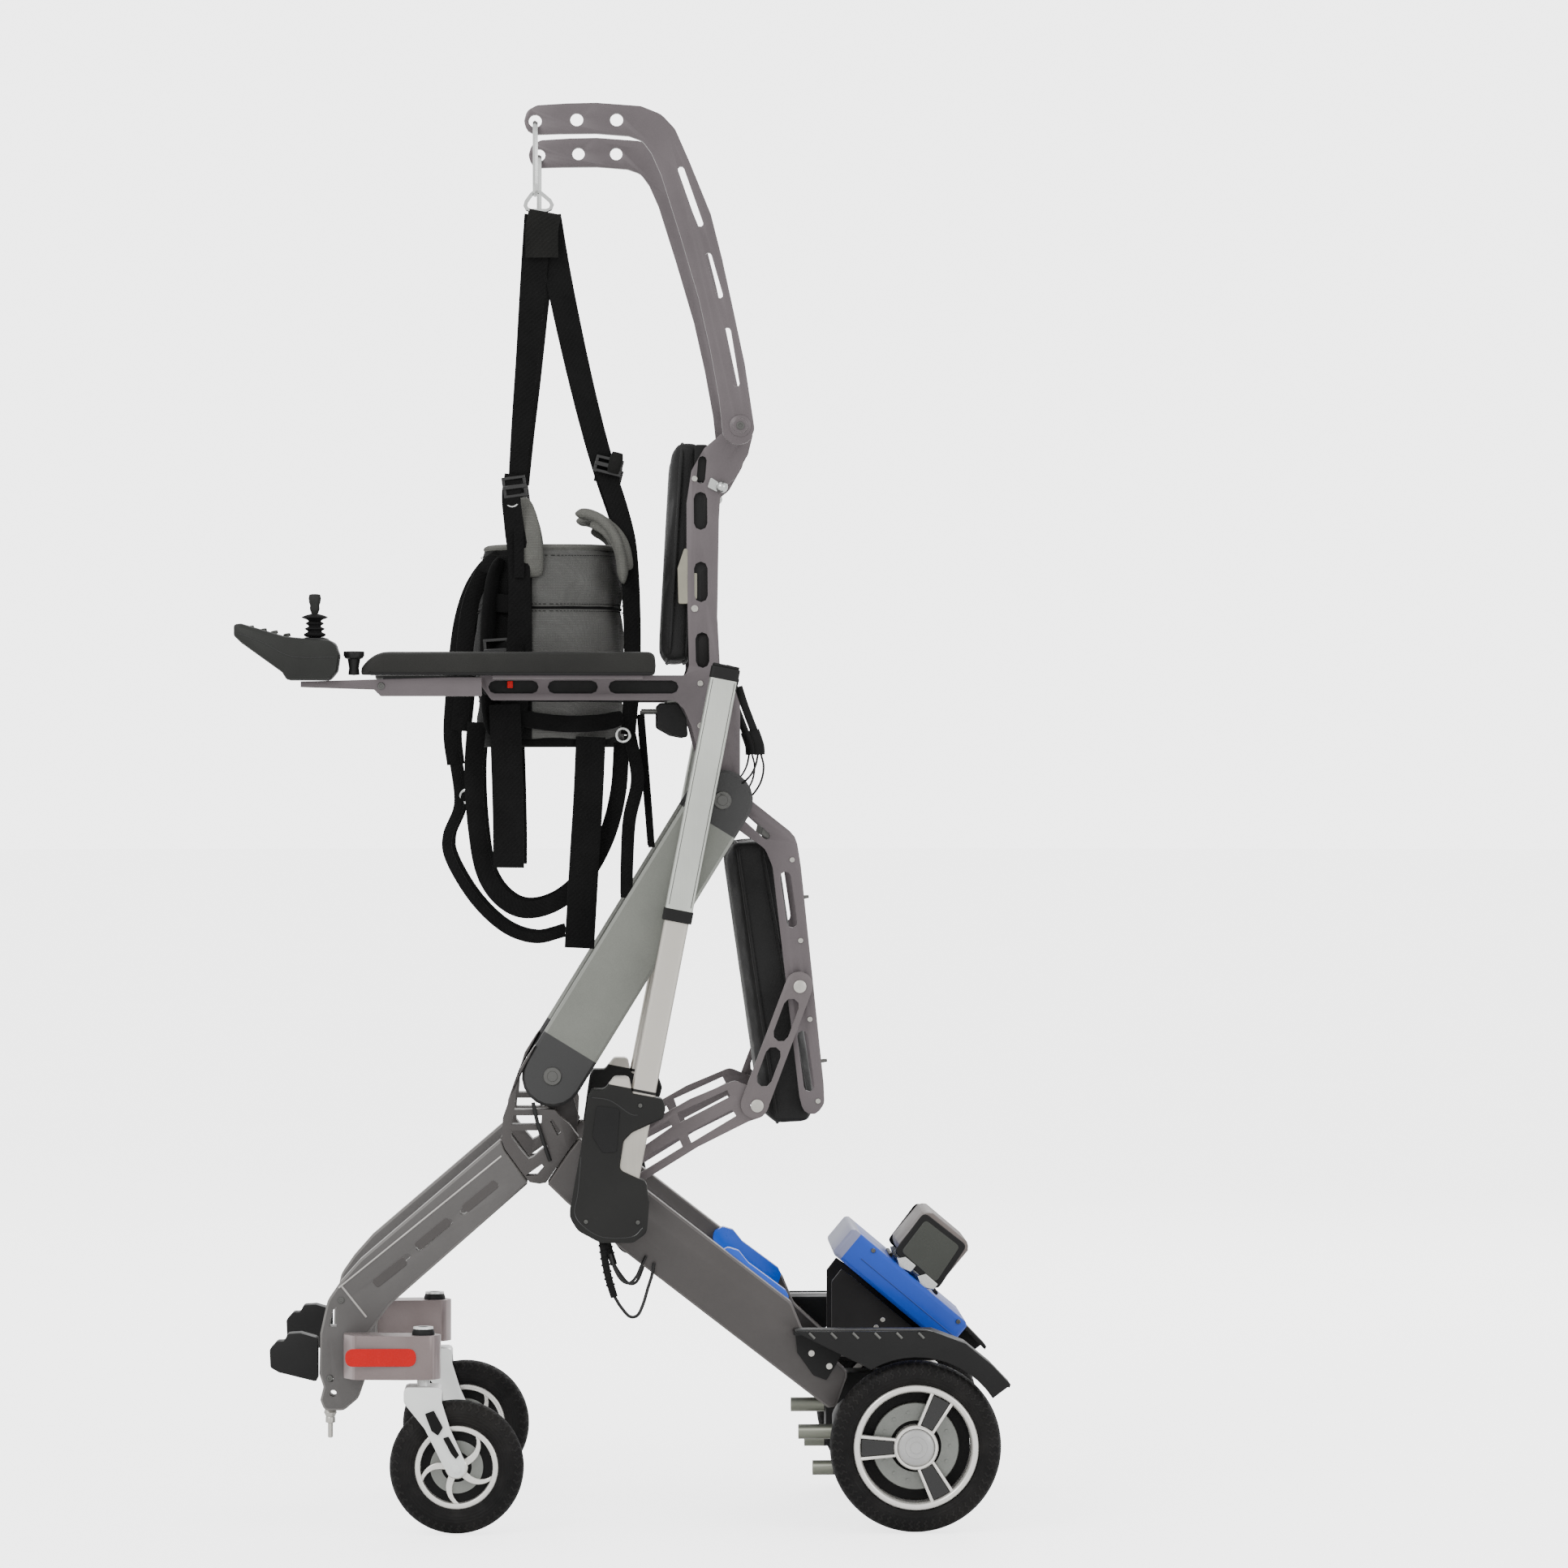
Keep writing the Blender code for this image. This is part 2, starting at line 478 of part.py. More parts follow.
for s in (-1, 1):
    tag = side_name(s)
    holes = [circle(COLUMN_FOOT, SHAFT_R + GAP + 0.1, 16), circle(COLUMN_HEAD, SHAFT_R + GAP, 16)]
    plate("column_" + tag, column_outline(), s * (FRAME_IN + 0.2), s * FRAME_OUT, COLUMN_GREY, LIFT, holes=holes, edge=4)
bm = bmesh.new()
rod(bm, (COLUMN_HEAD[0], -237, COLUMN_HEAD[1]), (COLUMN_HEAD[0], 237, COLUMN_HEAD[1]), SHAFT_R, 16)
finish(bm, "cross_shaft", STEEL, LIFT, smooth=True)

# ---- carriage: side plates, backrest and armrests -----------------------------------------------------------------
SIDE_PLATE = [(-208.0, 1199.2), (90.8, 1199.2), (95.3, 1212.9), (91.9, 1350.3), (91.9, 1441.9), (98.8, 1487.7), (117.1, 1519.7), (144.6, 1542.6), (157.2, 1558.7), (177.8, 1556.4), (185.8, 1539.2), (178.9, 1510.6), (159.4, 1476.2), (140.0, 1460.2), (137.7, 1419.0), (135.4, 1281.6), (140.0, 1194.6), (167.5, 1183.2), (167.5, 1024.0), (165.2, 1006.9), (151.4, 995.4), (126.2, 1002.3), (114.8, 1024.0), (114.8, 1064.1), (107.9, 1092.7), (98.8, 1127.1), (88.5, 1151.1), (75.9, 1163.7), (-182.8, 1163.7)]
SIDE_SLOTS = [
    slot((-187.4, 1182.6), (-116.5, 1182.6), 18.5),
    slot((-103.9, 1182.6), (-32.9, 1182.6), 18.5),
    slot((-18.0, 1182.6), (80.5, 1182.6), 18.5),
    slot((114.8, 1508.3), (111.4, 1469.4), 12),
    slot((111.4, 1457.9), (111.9, 1404.1), 19),
    slot((111.9, 1359.5), (112.5, 1302.2), 19),
    slot((113.7, 1259.9), (114.8, 1209.5), 19),
]
ARMREST = [(-363.5, 1209.7), (-359.0, 1217.7), (-327.1, 1231.3), (38.8, 1231.3), (47.9, 1223.4), (50.2, 1198.4), (-365.8, 1198.4)]
BACKREST_FRONT = [(82.7, 1529.6), (61.6, 1215.8)]
for s in (-1, 1):
    tag = side_name(s)
    pin_out = s * (ACT_Y - 19.8)

    def bosses(bm, s=s, pin_out=pin_out):
        rod(bm, (ACTUATOR_HEAD[0] + 4, s * (PLATE_IN + 1), ACTUATOR_HEAD[1]), (ACTUATOR_HEAD[0] + 4, pin_out, ACTUATOR_HEAD[1]), 13)
        rod(bm, (HANGER_PIVOT[0], s * (PLATE_IN + 1), HANGER_PIVOT[1]), (HANGER_PIVOT[0], s * 228.6, HANGER_PIVOT[1]), 17)
        # arm that reaches outwards under the armrest pad
        prism(bm, [(-180, 1193.4), (30, 1193.4), (30, 1198.0), (-180, 1198.0)], s * (PLATE_IN + 1), s * 268)

    side = plate("side_plate_" + tag, rounded(SIDE_PLATE, [6, 6, 4, 10, 10, 10, 12, 12, 12, 10, 10, 12, 14, 8, 10, 10, 6, 8, 10, 8, 10, 10, 10, 10, 10, 10, 10, 10, 6]), s * PLATE_IN, s * PLATE_OUT, GREY_PAINT, CARRIAGE, join=bosses)
    hb = bmesh.new()
    for hole in SIDE_SLOTS + [circle(COLUMN_HEAD, SHAFT_R + GAP, 16)]:
        prism(hb, hole, s * (PLATE_IN - 3), s * (PLATE_OUT + 3))
    cut(side, finish(hb, "side_plate_" + tag + "_holes", None, CARRIAGE, cutter=True))
    bm = bmesh.new()
    prism(bm, rounded(ARMREST, [6, 8, 16, 8, 6, 4, 4]), s * 221, s * 279)
    pad = finish(bm, "armrest_pad_" + tag, LEATHER, CARRIAGE, smooth=True)
    soften(pad, 7, 2)

# backrest pad and the frame that ties the two side plates together behind it
bm = bmesh.new()
prism(bm, rounded([(78, 1530), (114, 1530), (97, 1217), (60, 1217)], [14, 10, 10, 14]), -178, 178)
pad = finish(bm, "backrest_pad", LEATHER, CARRIAGE, smooth=True)
soften(pad, 8, 2)
bm = bmesh.new()
prism(bm, [(117, 1518), (123, 1518), (112, 1219), (106, 1219)], -120, 120)
back = finish(bm, "backrest_frame", BLACK, CARRIAGE)
for z0, z1, x0, x1 in ((1402, 1462, 116, 136), (1298, 1348, 112, 132), (1210, 1258, 108, 131)):
    add = bmesh.new()
    prism(add, rounded([(x0, z0), (x1, z0), (x1, z1), (x0, z1)], 4), -(PLATE_IN - GAP), PLATE_IN - GAP)
    cut(back, finish(add, "backrest_rail_%d" % z0, None, CARRIAGE, cutter=True), "UNION")

# ---- joystick on the left armrest -------------------------------------------------------------------------------------
JOYSTICK_Y = -250.0
bm = bmesh.new()
prism(bm, [(-447.6, 1189.3), (-233.9, 1195.5), (-195.3, 1195.5), (-195.3, 1168.8), (-336.2, 1168.8), (-345.3, 1177.9), (-447.6, 1181.3)], JOYSTICK_Y - 12, JOYSTICK_Y + 12)
finish(bm, "joystick_arm", GREY_PAINT, CARRIAGE)
HOUSING = [(-539.7, 1268.8), (-529.4, 1270.0), (-466.9, 1251.8), (-432.8, 1248.4), (-406.7, 1247.2), (-398.7, 1242.7), (-393.1, 1225.7), (-396.5, 1202.9), (-406.7, 1190.9), (-465.8, 1190.9), (-472.6, 1201.8), (-529.4, 1242.7), (-539.7, 1252.9)]
bm = bmesh.new()
prism(bm, rounded(HOUSING, [4, 4, 8, 0, 8, 8, 8, 8, 8, 6, 6, 6, 5]), JOYSTICK_Y - 32, JOYSTICK_Y + 32)
housing = finish(bm, "joystick_housing", BLACK, CARRIAGE, smooth=True)
soften(housing, 7, 2, 50)
STICK = (-428.3, 1249.5)
stick_axis = empty("joystick_axis", STICK[0], JOYSTICK_Y, STICK[1] - 4, CARRIAGE)
turned(
    "joystick_lever",
    [(0.05, 2.6), (4.5, 2.6), (10, 6), (14, 9), (9, 12.5), (13.5, 16), (9, 19), (17, 24), (9, 29), (6, 36), (6.5, 40), (8, 58), (6.5, 62), (0.05, 62.5)],
    (STICK[0], JOYSTICK_Y, STICK[1] + 0.4), BLACK, stick_axis, 12, axis="Z",
)

# ---- lift actuators ----------------------------------------------------------------------------------------------------
FOOT, HEAD = Vector(ACTUATOR_FOOT), Vector(ACTUATOR_HEAD)
ALONG = (HEAD - FOOT).normalized()
SIDE = Vector((ALONG.y, -ALONG.x))


def on_axis(up, across=0.0):
    """A side-view point given as a distance up the actuator and one to its rear side."""
    p = FOOT + ALONG * up + SIDE * across
    return (p.x, p.y)


MOTOR_CASE = [(-46.4, 610.4), (-40.7, 620.6), (-23.7, 620.6), (-10.1, 637.6), (10.4, 637.6), (14.9, 614.9), (56.9, 607.0), (61.4, 593.3), (58.0, 579.7), (14.9, 560.4), (2.4, 547.9), (-3.2, 508.2), (34.2, 491.2), (38.7, 462.8), (35.3, 419.7), (16.0, 406.1), (-29.3, 406.1), (-61.1, 423.1), (-73.6, 443.5), (-67.9, 474.2), (-57.7, 530.9)]
COLLAR_UP, TUBE_TOP_UP, BORE_TOP_UP, SLEEVE_TOP_UP = 412.0, 470.0, 736.0, 768.0
for s in (-1, 1):
    tag = side_name(s)

    def along_rod(bm, up0, up1, half, corner=5.0, s=s):
        """A square bar with rounded corners along the actuator."""
        section = rounded([(-half, -half), (half, -half), (half, half), (-half, half)], corner, 3)
        low = [bm.verts.new((on_axis(up0, a)[0], s * ACT_Y + b, on_axis(up0, a)[1])) for a, b in section]
        high = [bm.verts.new((on_axis(up1, a)[0], s * ACT_Y + b, on_axis(up1, a)[1])) for a, b in section]
        faces = [bm.faces.new(low), bm.faces.new(high[::-1])]
        for i in range(len(section)):
            j = (i + 1) % len(section)
            faces.append(bm.faces.new((low[i], low[j], high[j], high[i])))
        bmesh.ops.recalc_face_normals(bm, faces=faces)

    case = plate("actuator_housing_" + tag, rounded(MOTOR_CASE, [6, 3, 6, 6, 6, 3, 6, 5, 5, 8, 8, 8, 8, 10, 14, 14, 16, 20, 20, 10, 0]), s * (ACT_Y - 22), s * (ACT_Y + 22), BLACK, ACT_LOW, edge=2)
    tube = bmesh.new()
    along_rod(tube, 10, TUBE_TOP_UP, 17.2)
    cut(case, finish(tube, "actuator_inner_tube_" + tag, None, ACT_LOW, cutter=True), "UNION")
    sleeve = bmesh.new()
    along_rod(sleeve, COLLAR_UP, SLEEVE_TOP_UP, 19.5)
    sleeve = finish(sleeve, "actuator_sleeve_" + tag, ALUMINIUM, ACT_ROD)
    ring = bmesh.new()
    along_rod(ring, COLLAR_UP - 4, COLLAR_UP + 12, 20.4)
    cut(sleeve, finish(ring, "actuator_collar_" + tag, None, ACT_ROD, cutter=True), "UNION")
    bore = bmesh.new()
    along_rod(bore, COLLAR_UP - 20, BORE_TOP_UP, 17.9, 5.2)
    cut(sleeve, finish(bore, "actuator_bore_" + tag, None, ACT_ROD, cutter=True))

# ---- seat and its folding linkage ---------------------------------------------------------------------------------------
SEAT_PLATE = [(146.3, 1041.0), (180.8, 1025.0), (247.4, 972.1), (254.3, 928.4), (286.5, 620.5), (287.6, 593.0), (275.0, 575.7), (257.7, 581.5), (252.0, 603.3), (214.1, 928.4), (203.7, 953.7), (160.1, 985.9), (131.4, 1004.3), (124.5, 1022.7), (131.4, 1037.6)]
SEAT_SLOTS = [
    slot((172.7, 1002.0), (209.5, 968.7), 10),
    slot((231.3, 921.6), (242.8, 842.3), 15),
    slot((255.4, 696.4), (266.9, 610.2), 15),
    circle(COLUMN_HEAD, SHAFT_R + GAP, 16),
    circle(SEAT_LINK_PIN, 6, 12),
]
SEAT_PAD = [(153.4, 958.2), (160.3, 965.1), (198.3, 968.5), (215.5, 952.4), (270.7, 571.7), (265.0, 562.5), (217.8, 560.2), (208.6, 572.8)]
ARM_SHAPE = [(-44.4, 501.8), (-29.5, 517.8), (35.9, 566.0), (96.8, 600.4), (159.9, 626.8), (188.6, 615.4), (205.8, 605.0), (210.4, 590.1), (200.0, 575.2), (179.4, 568.3), (108.2, 532.7), (35.9, 488.0), (-10.0, 470.8), (-29.5, 470.8), (-44.4, 483.4)]
ARM_WINDOWS = [
    [(2.7, 533.9), (66.9, 570.6), (71.5, 561.4), (11.8, 520.1)],
    [(78.4, 580.9), (149.5, 613.1), (154.1, 603.9), (83.0, 567.2)],
    [(7.2, 506.3), (80.7, 545.4), (86.4, 532.7), (16.4, 490.3)],
    [(93.3, 552.2), (156.4, 585.5), (162.2, 576.3), (99.0, 538.5)],
    circle(SEAT_ARM_PIN, 6, 12),
]
for s in (-1, 1):
    tag = side_name(s)
    plate("seat_plate_" + tag, rounded(SEAT_PLATE, [10, 20, 30, 30, 14, 14, 14, 14, 14, 30, 20, 20, 14, 14, 14]), s * SEAT_IN, s * SEAT_OUT, GREY_PAINT, SEAT, holes=SEAT_SLOTS)
    p, f = Vector(SEAT_LINK_PIN), Vector(SEAT_ARM_PIN)
    along = (f - p).normalized()
    turn = math.degrees(math.atan2(along.y, along.x))
    outline = circle(f, 19.5, 10, turn - 90, 180) + circle(p, 19.5, 10, turn + 90, 180)
    windows = [slot(p + along * 20, p + along * 84, 22), slot(p + along * 93, p + along * 152, 22), circle(p, 6, 12), circle(f, 6, 12)]
    plate("seat_link_" + tag, outline, s * LINK_IN, s * LINK_OUT, GREY_PAINT, LINK, holes=windows)
    plate("seat_arm_" + tag, rounded(ARM_SHAPE, [14, 10, 0, 0, 12, 0, 12, 14, 14, 12, 0, 0, 14, 14, 14]), s * ARM_IN, s * ARM_OUT, GREY_PAINT, ARM, holes=ARM_WINDOWS)
bm = bmesh.new()
prism(bm, rounded(SEAT_PAD, [6, 6, 10, 12, 10, 8, 10, 10]), -149, 149)
pad = finish(bm, "seat_pad", LEATHER, SEAT, smooth=True)
soften(pad, 8, 2)
for label, at in (("upper", (236.2, 816.7)), ("lower", (267.3, 601.6))):
    bar = bmesh.new()
    rod(bar, (at[0], -SEAT_IN + GAP, at[1]), (at[0], SEAT_IN - GAP, at[1]), 6, 12)
    cut(pad, finish(bar, "seat_bar_" + label, None, SEAT, cutter=True), "UNION")

# ---- hanger arms and the body harness --------------------------------------------------------------------------------------
HANGER_IN, HANGER_OUT = 229.0, 241.0
HANGER_SHAPE = [(-136.4, 1974.0), (-131.9, 1988.8), (-118.2, 1996.2), (-74.9, 1999.0), (-35.1, 2000.0), (27.5, 1995.6), (56.0, 1984.2), (75.4, 1963.7), (95.9, 1917.0), (125.5, 1844.2), (141.4, 1781.5), (155.1, 1718.9), (173.3, 1633.5), (186.9, 1542.4), (177.8, 1524.2), (158.5, 1520.8), (142.5, 1533.3), (136.8, 1588.0), (124.3, 1656.3), (108.4, 1726.9), (82.2, 1815.7), (56.0, 1898.8), (42.3, 1929.6), (29.8, 1946.6), (10.5, 1953.5), (-35.1, 1956.9), (-86.3, 1956.3), (-118.2, 1955.2), (-131.9, 1959.2)]
HANGER_HOLES = [circle(HOOK_HOLE, 9.2, 14), circle((-62.4, 1976.2), 9.2, 14), circle((-6.6, 1976.2), 9.2, 14), circle(HANGER_PIVOT, 6, 16), slot((82.2, 1911.3), (111.8, 1827.1), 9), slot((120.9, 1790.6), (139.1, 1726.9), 9), slot((148.2, 1685.9), (161.9, 1602.8), 9)]
VEST_X, VEST_HALF_X, VEST_HALF_Y, VEST_WALL = -117.0, 138.0, 150.0, 14.0
VEST_LOW, VEST_HIGH = 1108.0, 1382.0


def oval(half_x, half_y, z, count=32, power=3.2):
    ring = []
    for i in range(count):
        t = math.tau * i / count
        c, d = math.cos(t), math.sin(t)
        ring.append((VEST_X + half_x * math.copysign(abs(c) ** (2 / power), c), half_y * math.copysign(abs(d) ** (2 / power), d), z))
    return ring


def wire(bm, points, radius, count=6):
    """A closed ring of round wire through the points."""
    n = len(points)
    rows = []
    centre = sum((Vector(p) for p in points), Vector()) / n
    normal = (Vector(points[0]) - centre).cross(Vector(points[n // 4]) - centre).normalized()
    for i, p in enumerate(points):
        t = (Vector(points[(i + 1) % n]) - Vector(points[i - 1])).normalized()
        u = t.cross(normal).normalized()
        rows.append([bm.verts.new(Vector(p) + (u * math.cos(math.tau * k / count) + normal * math.sin(math.tau * k / count)) * radius) for k in range(count)])
    for i in range(n):
        a, b = rows[i], rows[(i + 1) % n]
        for k in range(count):
            bm.faces.new((a[k], a[(k + 1) % count], b[(k + 1) % count], b[k]))


for s in (-1, 1):
    tag = side_name(s)
    plate("hanger_arm_" + tag, rounded(HANGER_SHAPE, [10, 12, 14, 0, 0, 20, 24, 24, 0, 0, 0, 0, 0, 14, 12, 12, 12, 0, 0, 0, 0, 0, 16, 16, 14, 0, 0, 14, 14]), s * HANGER_IN, s * HANGER_OUT, GREY_PAINT, HANGER, holes=HANGER_HOLES)

    y = s * (HANGER_IN + HANGER_OUT) / 2
    top = HOOK_HOLE[1] - 9.2 + 7.2
    bm = bmesh.new()
    oval_path = [(HOOK_HOLE[0], y + py, pz) for py, pz in circle((0, top - 14), 14, 6, 0, 180) + circle((0, top - 86), 14, 6, 180, 180)]
    wire(bm, oval_path, 4.0)
    hook = finish(bm, "hook_" + tag, STEEL, HARNESS, smooth=True)
    tri = bmesh.new()
    low = 1849.0
    wire(tri, [(x, y, z) for x, z in rounded([(-120, 1880), (-142, low), (-83, low)], [9, 8, 8], 3)], 2.8)
    cut(hook, finish(tri, "hook_ring_" + tag, None, HARNESS, cutter=True), "UNION")

    # two flat straps that leave the ring together and spread to the front and rear of the harness
    y_top, y_low = s * (y * s - 1.5), s * 143.0
    bm = bmesh.new()
    rows = []
    for t in (0.0, 0.25, 0.5, 0.75, 1.0):
        yy = y_top + (y_low - y_top) * t
        z = 1845.4 + (1450 - 1845.4) * t
        x0, x1 = -132 + (-160 + 132) * t, -92 + (-126 + 92) * t
        rows.append([(x0, yy - 2, z), (x1, yy - 2, z), (x1, yy + 2, z), (x0, yy + 2, z)])
    loft(bm, rows)
    strap = finish(bm, "suspension_strap_" + tag, WEBBING, HARNESS)
    bm = bmesh.new()
    rows = []
    for t in (0.0, 0.25, 0.5, 0.75, 1.0):
        yy = y_top + (y_low - y_top) * t - s * 1.0
        z = 1845.0 + (1443 - 1845.0) * t
        x0, x1 = -118 + (-44 + 118) * t, -86 + (-8 + 86) * t
        rows.append([(x0, yy - 2, z), (x1, yy - 2, z), (x1, yy + 2, z), (x0, yy + 2, z)])
    loft(bm, rows)
    cut(strap, finish(bm, "rear_strap_" + tag, None, HARNESS, cutter=True), "UNION")

    # leg strap that hangs in a loop under the harness
    loop = band([(-213, 1107), (-208, 1010), (-190, 930), (-150, 878), (-105, 868), (-60, 892), (-32, 950), (-14, 1030), (-6, 1107)], [16] * 9, 18)
    bm = bmesh.new()
    prism(bm, [(x, min(z, VEST_LOW - GAP)) for x, z in loop], s * 92, s * 132)
    finish(bm, "leg_strap_" + tag, WEBBING, HARNESS)

bm = bmesh.new()
rod(bm, (162, -HANGER_IN + GAP, 1592), (162, HANGER_IN - GAP, 1592), 8, 16)
finish(bm, "hanger_cross_bar", STEEL, HANGER, smooth=True)

bm = bmesh.new()
loft(bm, [oval(VEST_HALF_X, VEST_HALF_Y, z) for z in (VEST_LOW, (VEST_LOW + VEST_HIGH) / 2, VEST_HIGH)])
vest = finish(bm, "harness_vest", FABRIC, HARNESS, smooth=True)
for s in (-1, 1):
    for label, outline in (
        ("front", [(-168, 1340), (-120, 1340), (-122, 1420), (-132, 1449), (-158, 1449), (-166, 1420)]),
        ("rear", [(-60, 1340), (4, 1340), (4, 1400), (-4, 1432), (-14, 1442), (-46, 1442), (-62, 1430), (-52, 1400)]),
    ):
        bm = bmesh.new()
        prism(bm, outline, s * (VEST_HALF_Y - VEST_WALL), s * (VEST_HALF_Y - 3))
        cut(vest, finish(bm, "shoulder_%s_%s" % (label, side_name(s)), None, HARNESS, cutter=True), "UNION")
bm = bmesh.new()
loft(bm, [oval(VEST_HALF_X - VEST_WALL, VEST_HALF_Y - VEST_WALL - 0.2, z) for z in (VEST_LOW - 10, VEST_HIGH + 90)])
cut(vest, finish(bm, "vest_inside", None, HARNESS, cutter=True))
bpy.context.view_layer.update()
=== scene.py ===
"""Looks of the sit to stand lift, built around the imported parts. Metres, +Z up, -X is the front and -Y the user's left."""

import json
import math

import bmesh
import bpy
import numpy as np
from mathutils import Matrix, Vector

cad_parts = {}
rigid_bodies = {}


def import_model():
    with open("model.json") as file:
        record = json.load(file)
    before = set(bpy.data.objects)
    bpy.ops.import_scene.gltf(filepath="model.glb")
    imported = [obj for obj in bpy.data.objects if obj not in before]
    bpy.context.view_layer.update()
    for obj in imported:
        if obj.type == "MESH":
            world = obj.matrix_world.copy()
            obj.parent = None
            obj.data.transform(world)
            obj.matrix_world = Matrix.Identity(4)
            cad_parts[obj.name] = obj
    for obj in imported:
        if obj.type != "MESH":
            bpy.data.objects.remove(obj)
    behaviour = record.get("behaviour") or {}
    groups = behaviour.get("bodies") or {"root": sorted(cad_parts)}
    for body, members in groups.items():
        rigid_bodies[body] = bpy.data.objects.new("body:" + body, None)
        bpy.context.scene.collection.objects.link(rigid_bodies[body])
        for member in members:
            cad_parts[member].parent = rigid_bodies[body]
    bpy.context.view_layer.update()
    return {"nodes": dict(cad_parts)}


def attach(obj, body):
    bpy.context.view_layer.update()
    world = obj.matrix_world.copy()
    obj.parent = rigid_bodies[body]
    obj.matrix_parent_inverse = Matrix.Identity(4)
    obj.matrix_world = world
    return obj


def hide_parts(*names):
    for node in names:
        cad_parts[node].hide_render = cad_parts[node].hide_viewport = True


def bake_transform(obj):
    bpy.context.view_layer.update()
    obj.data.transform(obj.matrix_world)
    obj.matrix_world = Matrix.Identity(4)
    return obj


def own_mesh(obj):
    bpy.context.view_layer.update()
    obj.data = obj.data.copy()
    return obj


for old in list(bpy.data.objects):
    bpy.data.objects.remove(old, do_unlink=True)
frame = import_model()
SCENE = bpy.context.scene
NODES = frame["nodes"]
SIDES = ((-1, "left"), (1, "right"))


def srgb(r, g, b):
    out = []
    for c in (r, g, b):
        c /= 255.0
        out.append(c / 12.92 if c <= 0.04045 else ((c + 0.055) / 1.055) ** 2.4)
    return tuple(out)


# ---- camera -----------------------------------------------------------------------------------------
cam_data = bpy.data.cameras.new("camera")
cam_data.lens, cam_data.sensor_width = 135.3, 36.0
cam_data.clip_end = 200
cam = bpy.data.objects.new("camera", cam_data)
SCENE.collection.objects.link(cam)
cam.location = (-0.0196, -8.5, 1.087)
cam.rotation_euler = (math.radians(90 - 0.284), 0, math.radians(-1.705))
SCENE.camera = cam


# ---- material kit -----------------------------------------------------------------------------------
class Surface:
    """A procedural material, built up node by node in object coordinates."""

    def __init__(self, name, rough=0.5, metal=0.0, coat=0.0, sheen=0.0, spec=0.5):
        self.mat = bpy.data.materials.new(name)
        self.mat.use_nodes = True
        self.t = self.mat.node_tree
        self.b = self.t.nodes["Principled BSDF"]
        self.b.inputs["Roughness"].default_value = rough
        self.b.inputs["Metallic"].default_value = metal
        self.b.inputs["Coat Weight"].default_value = coat
        self.b.inputs["Coat Roughness"].default_value = 0.2
        self.b.inputs["Sheen Weight"].default_value = sheen
        self.b.inputs["Specular IOR Level"].default_value = spec
        tc = self.t.nodes.new("ShaderNodeTexCoord")
        self.P, self.UV = tc.outputs["Object"], tc.outputs["UV"]
        self.height = None

    def node(self, kind, **inputs):
        n = self.t.nodes.new(kind)
        for k, v in inputs.items():
            self.put(n.inputs[k.replace("_", " ")], v)
        return n

    def put(self, socket, v):
        if isinstance(v, bpy.types.NodeSocket):
            self.t.links.new(v, socket)
        elif isinstance(v, (tuple, list)) and len(v) == 3 and socket.type == "RGBA":
            socket.default_value = (*v, 1)
        else:
            socket.default_value = v

    def math(self, op, a, b=0.0, c=0.0):
        n = self.t.nodes.new("ShaderNodeMath")
        n.operation = op
        for i, v in enumerate((a, b, c)):
            self.put(n.inputs[i], v)
        return n.outputs[0]

    def noise(self, scale, detail=3.0, rough=0.55, vector=None, distortion=0.0):
        n = self.node("ShaderNodeTexNoise", Scale=scale, Detail=detail, Roughness=rough, Distortion=distortion)
        self.t.links.new(vector or self.P, n.inputs["Vector"])
        return n.outputs["Fac"]

    def wave(self, scale, direction="X", vector=None, distortion=0.0):
        n = self.node("ShaderNodeTexWave", Scale=scale, Distortion=distortion)
        n.bands_direction = direction
        self.t.links.new(vector or self.P, n.inputs["Vector"])
        return n.outputs["Fac"]

    def cells(self, scale, vector=None):
        n = self.node("ShaderNodeTexVoronoi", Scale=scale)
        self.t.links.new(vector or self.P, n.inputs["Vector"])
        return n.outputs["Distance"]

    def stretch(self, sx, sy, sz):
        n = self.t.nodes.new("ShaderNodeVectorMath")
        n.operation = "MULTIPLY"
        self.t.links.new(self.P, n.inputs[0])
        n.inputs[1].default_value = (sx, sy, sz)
        return n.outputs[0]

    def mix(self, fac, a, b):
        n = self.t.nodes.new("ShaderNodeMix")
        n.data_type = "RGBA"
        self.put(n.inputs[0], fac)
        self.put(n.inputs[6], a)
        self.put(n.inputs[7], b)
        return n.outputs[2]

    def blendf(self, fac, a, b):
        n = self.t.nodes.new("ShaderNodeMix")
        self.put(n.inputs[0], fac)
        self.put(n.inputs[2], a)
        self.put(n.inputs[3], b)
        return n.outputs[0]

    def remap(self, v, lo, hi, a=0.0, b=1.0):
        n = self.t.nodes.new("ShaderNodeMapRange")
        self.put(n.inputs[0], v)
        for i, x in enumerate((lo, hi, a, b)):
            self.put(n.inputs[i + 1], x)
        return n.outputs[0]

    def side(self, normal, offset, soft=0.0004):
        """1 where P . normal is over offset, with a short soft step."""
        n = self.t.nodes.new("ShaderNodeVectorMath")
        n.operation = "DOT_PRODUCT"
        self.t.links.new(self.P, n.inputs[0])
        n.inputs[1].default_value = normal
        return self.remap(n.outputs["Value"], offset - soft, offset + soft)

    def both(self, a, b):
        return self.math("MULTIPLY", a, b)

    def edge_highlight_mask(self, low=0.55, high=0.85):
        """1 on the cut edges of a plate that stands in the XZ plane, where a painted edge highlight goes."""
        g = self.t.nodes.new("ShaderNodeNewGeometry")
        x = self.t.nodes.new("ShaderNodeSeparateXYZ")
        self.t.links.new(g.outputs["True Normal"], x.inputs[0])
        return self.remap(self.math("ABSOLUTE", x.outputs[1]), high, low)

    def colour(self, socket):
        self.put(self.b.inputs["Base Color"], socket)
        return self

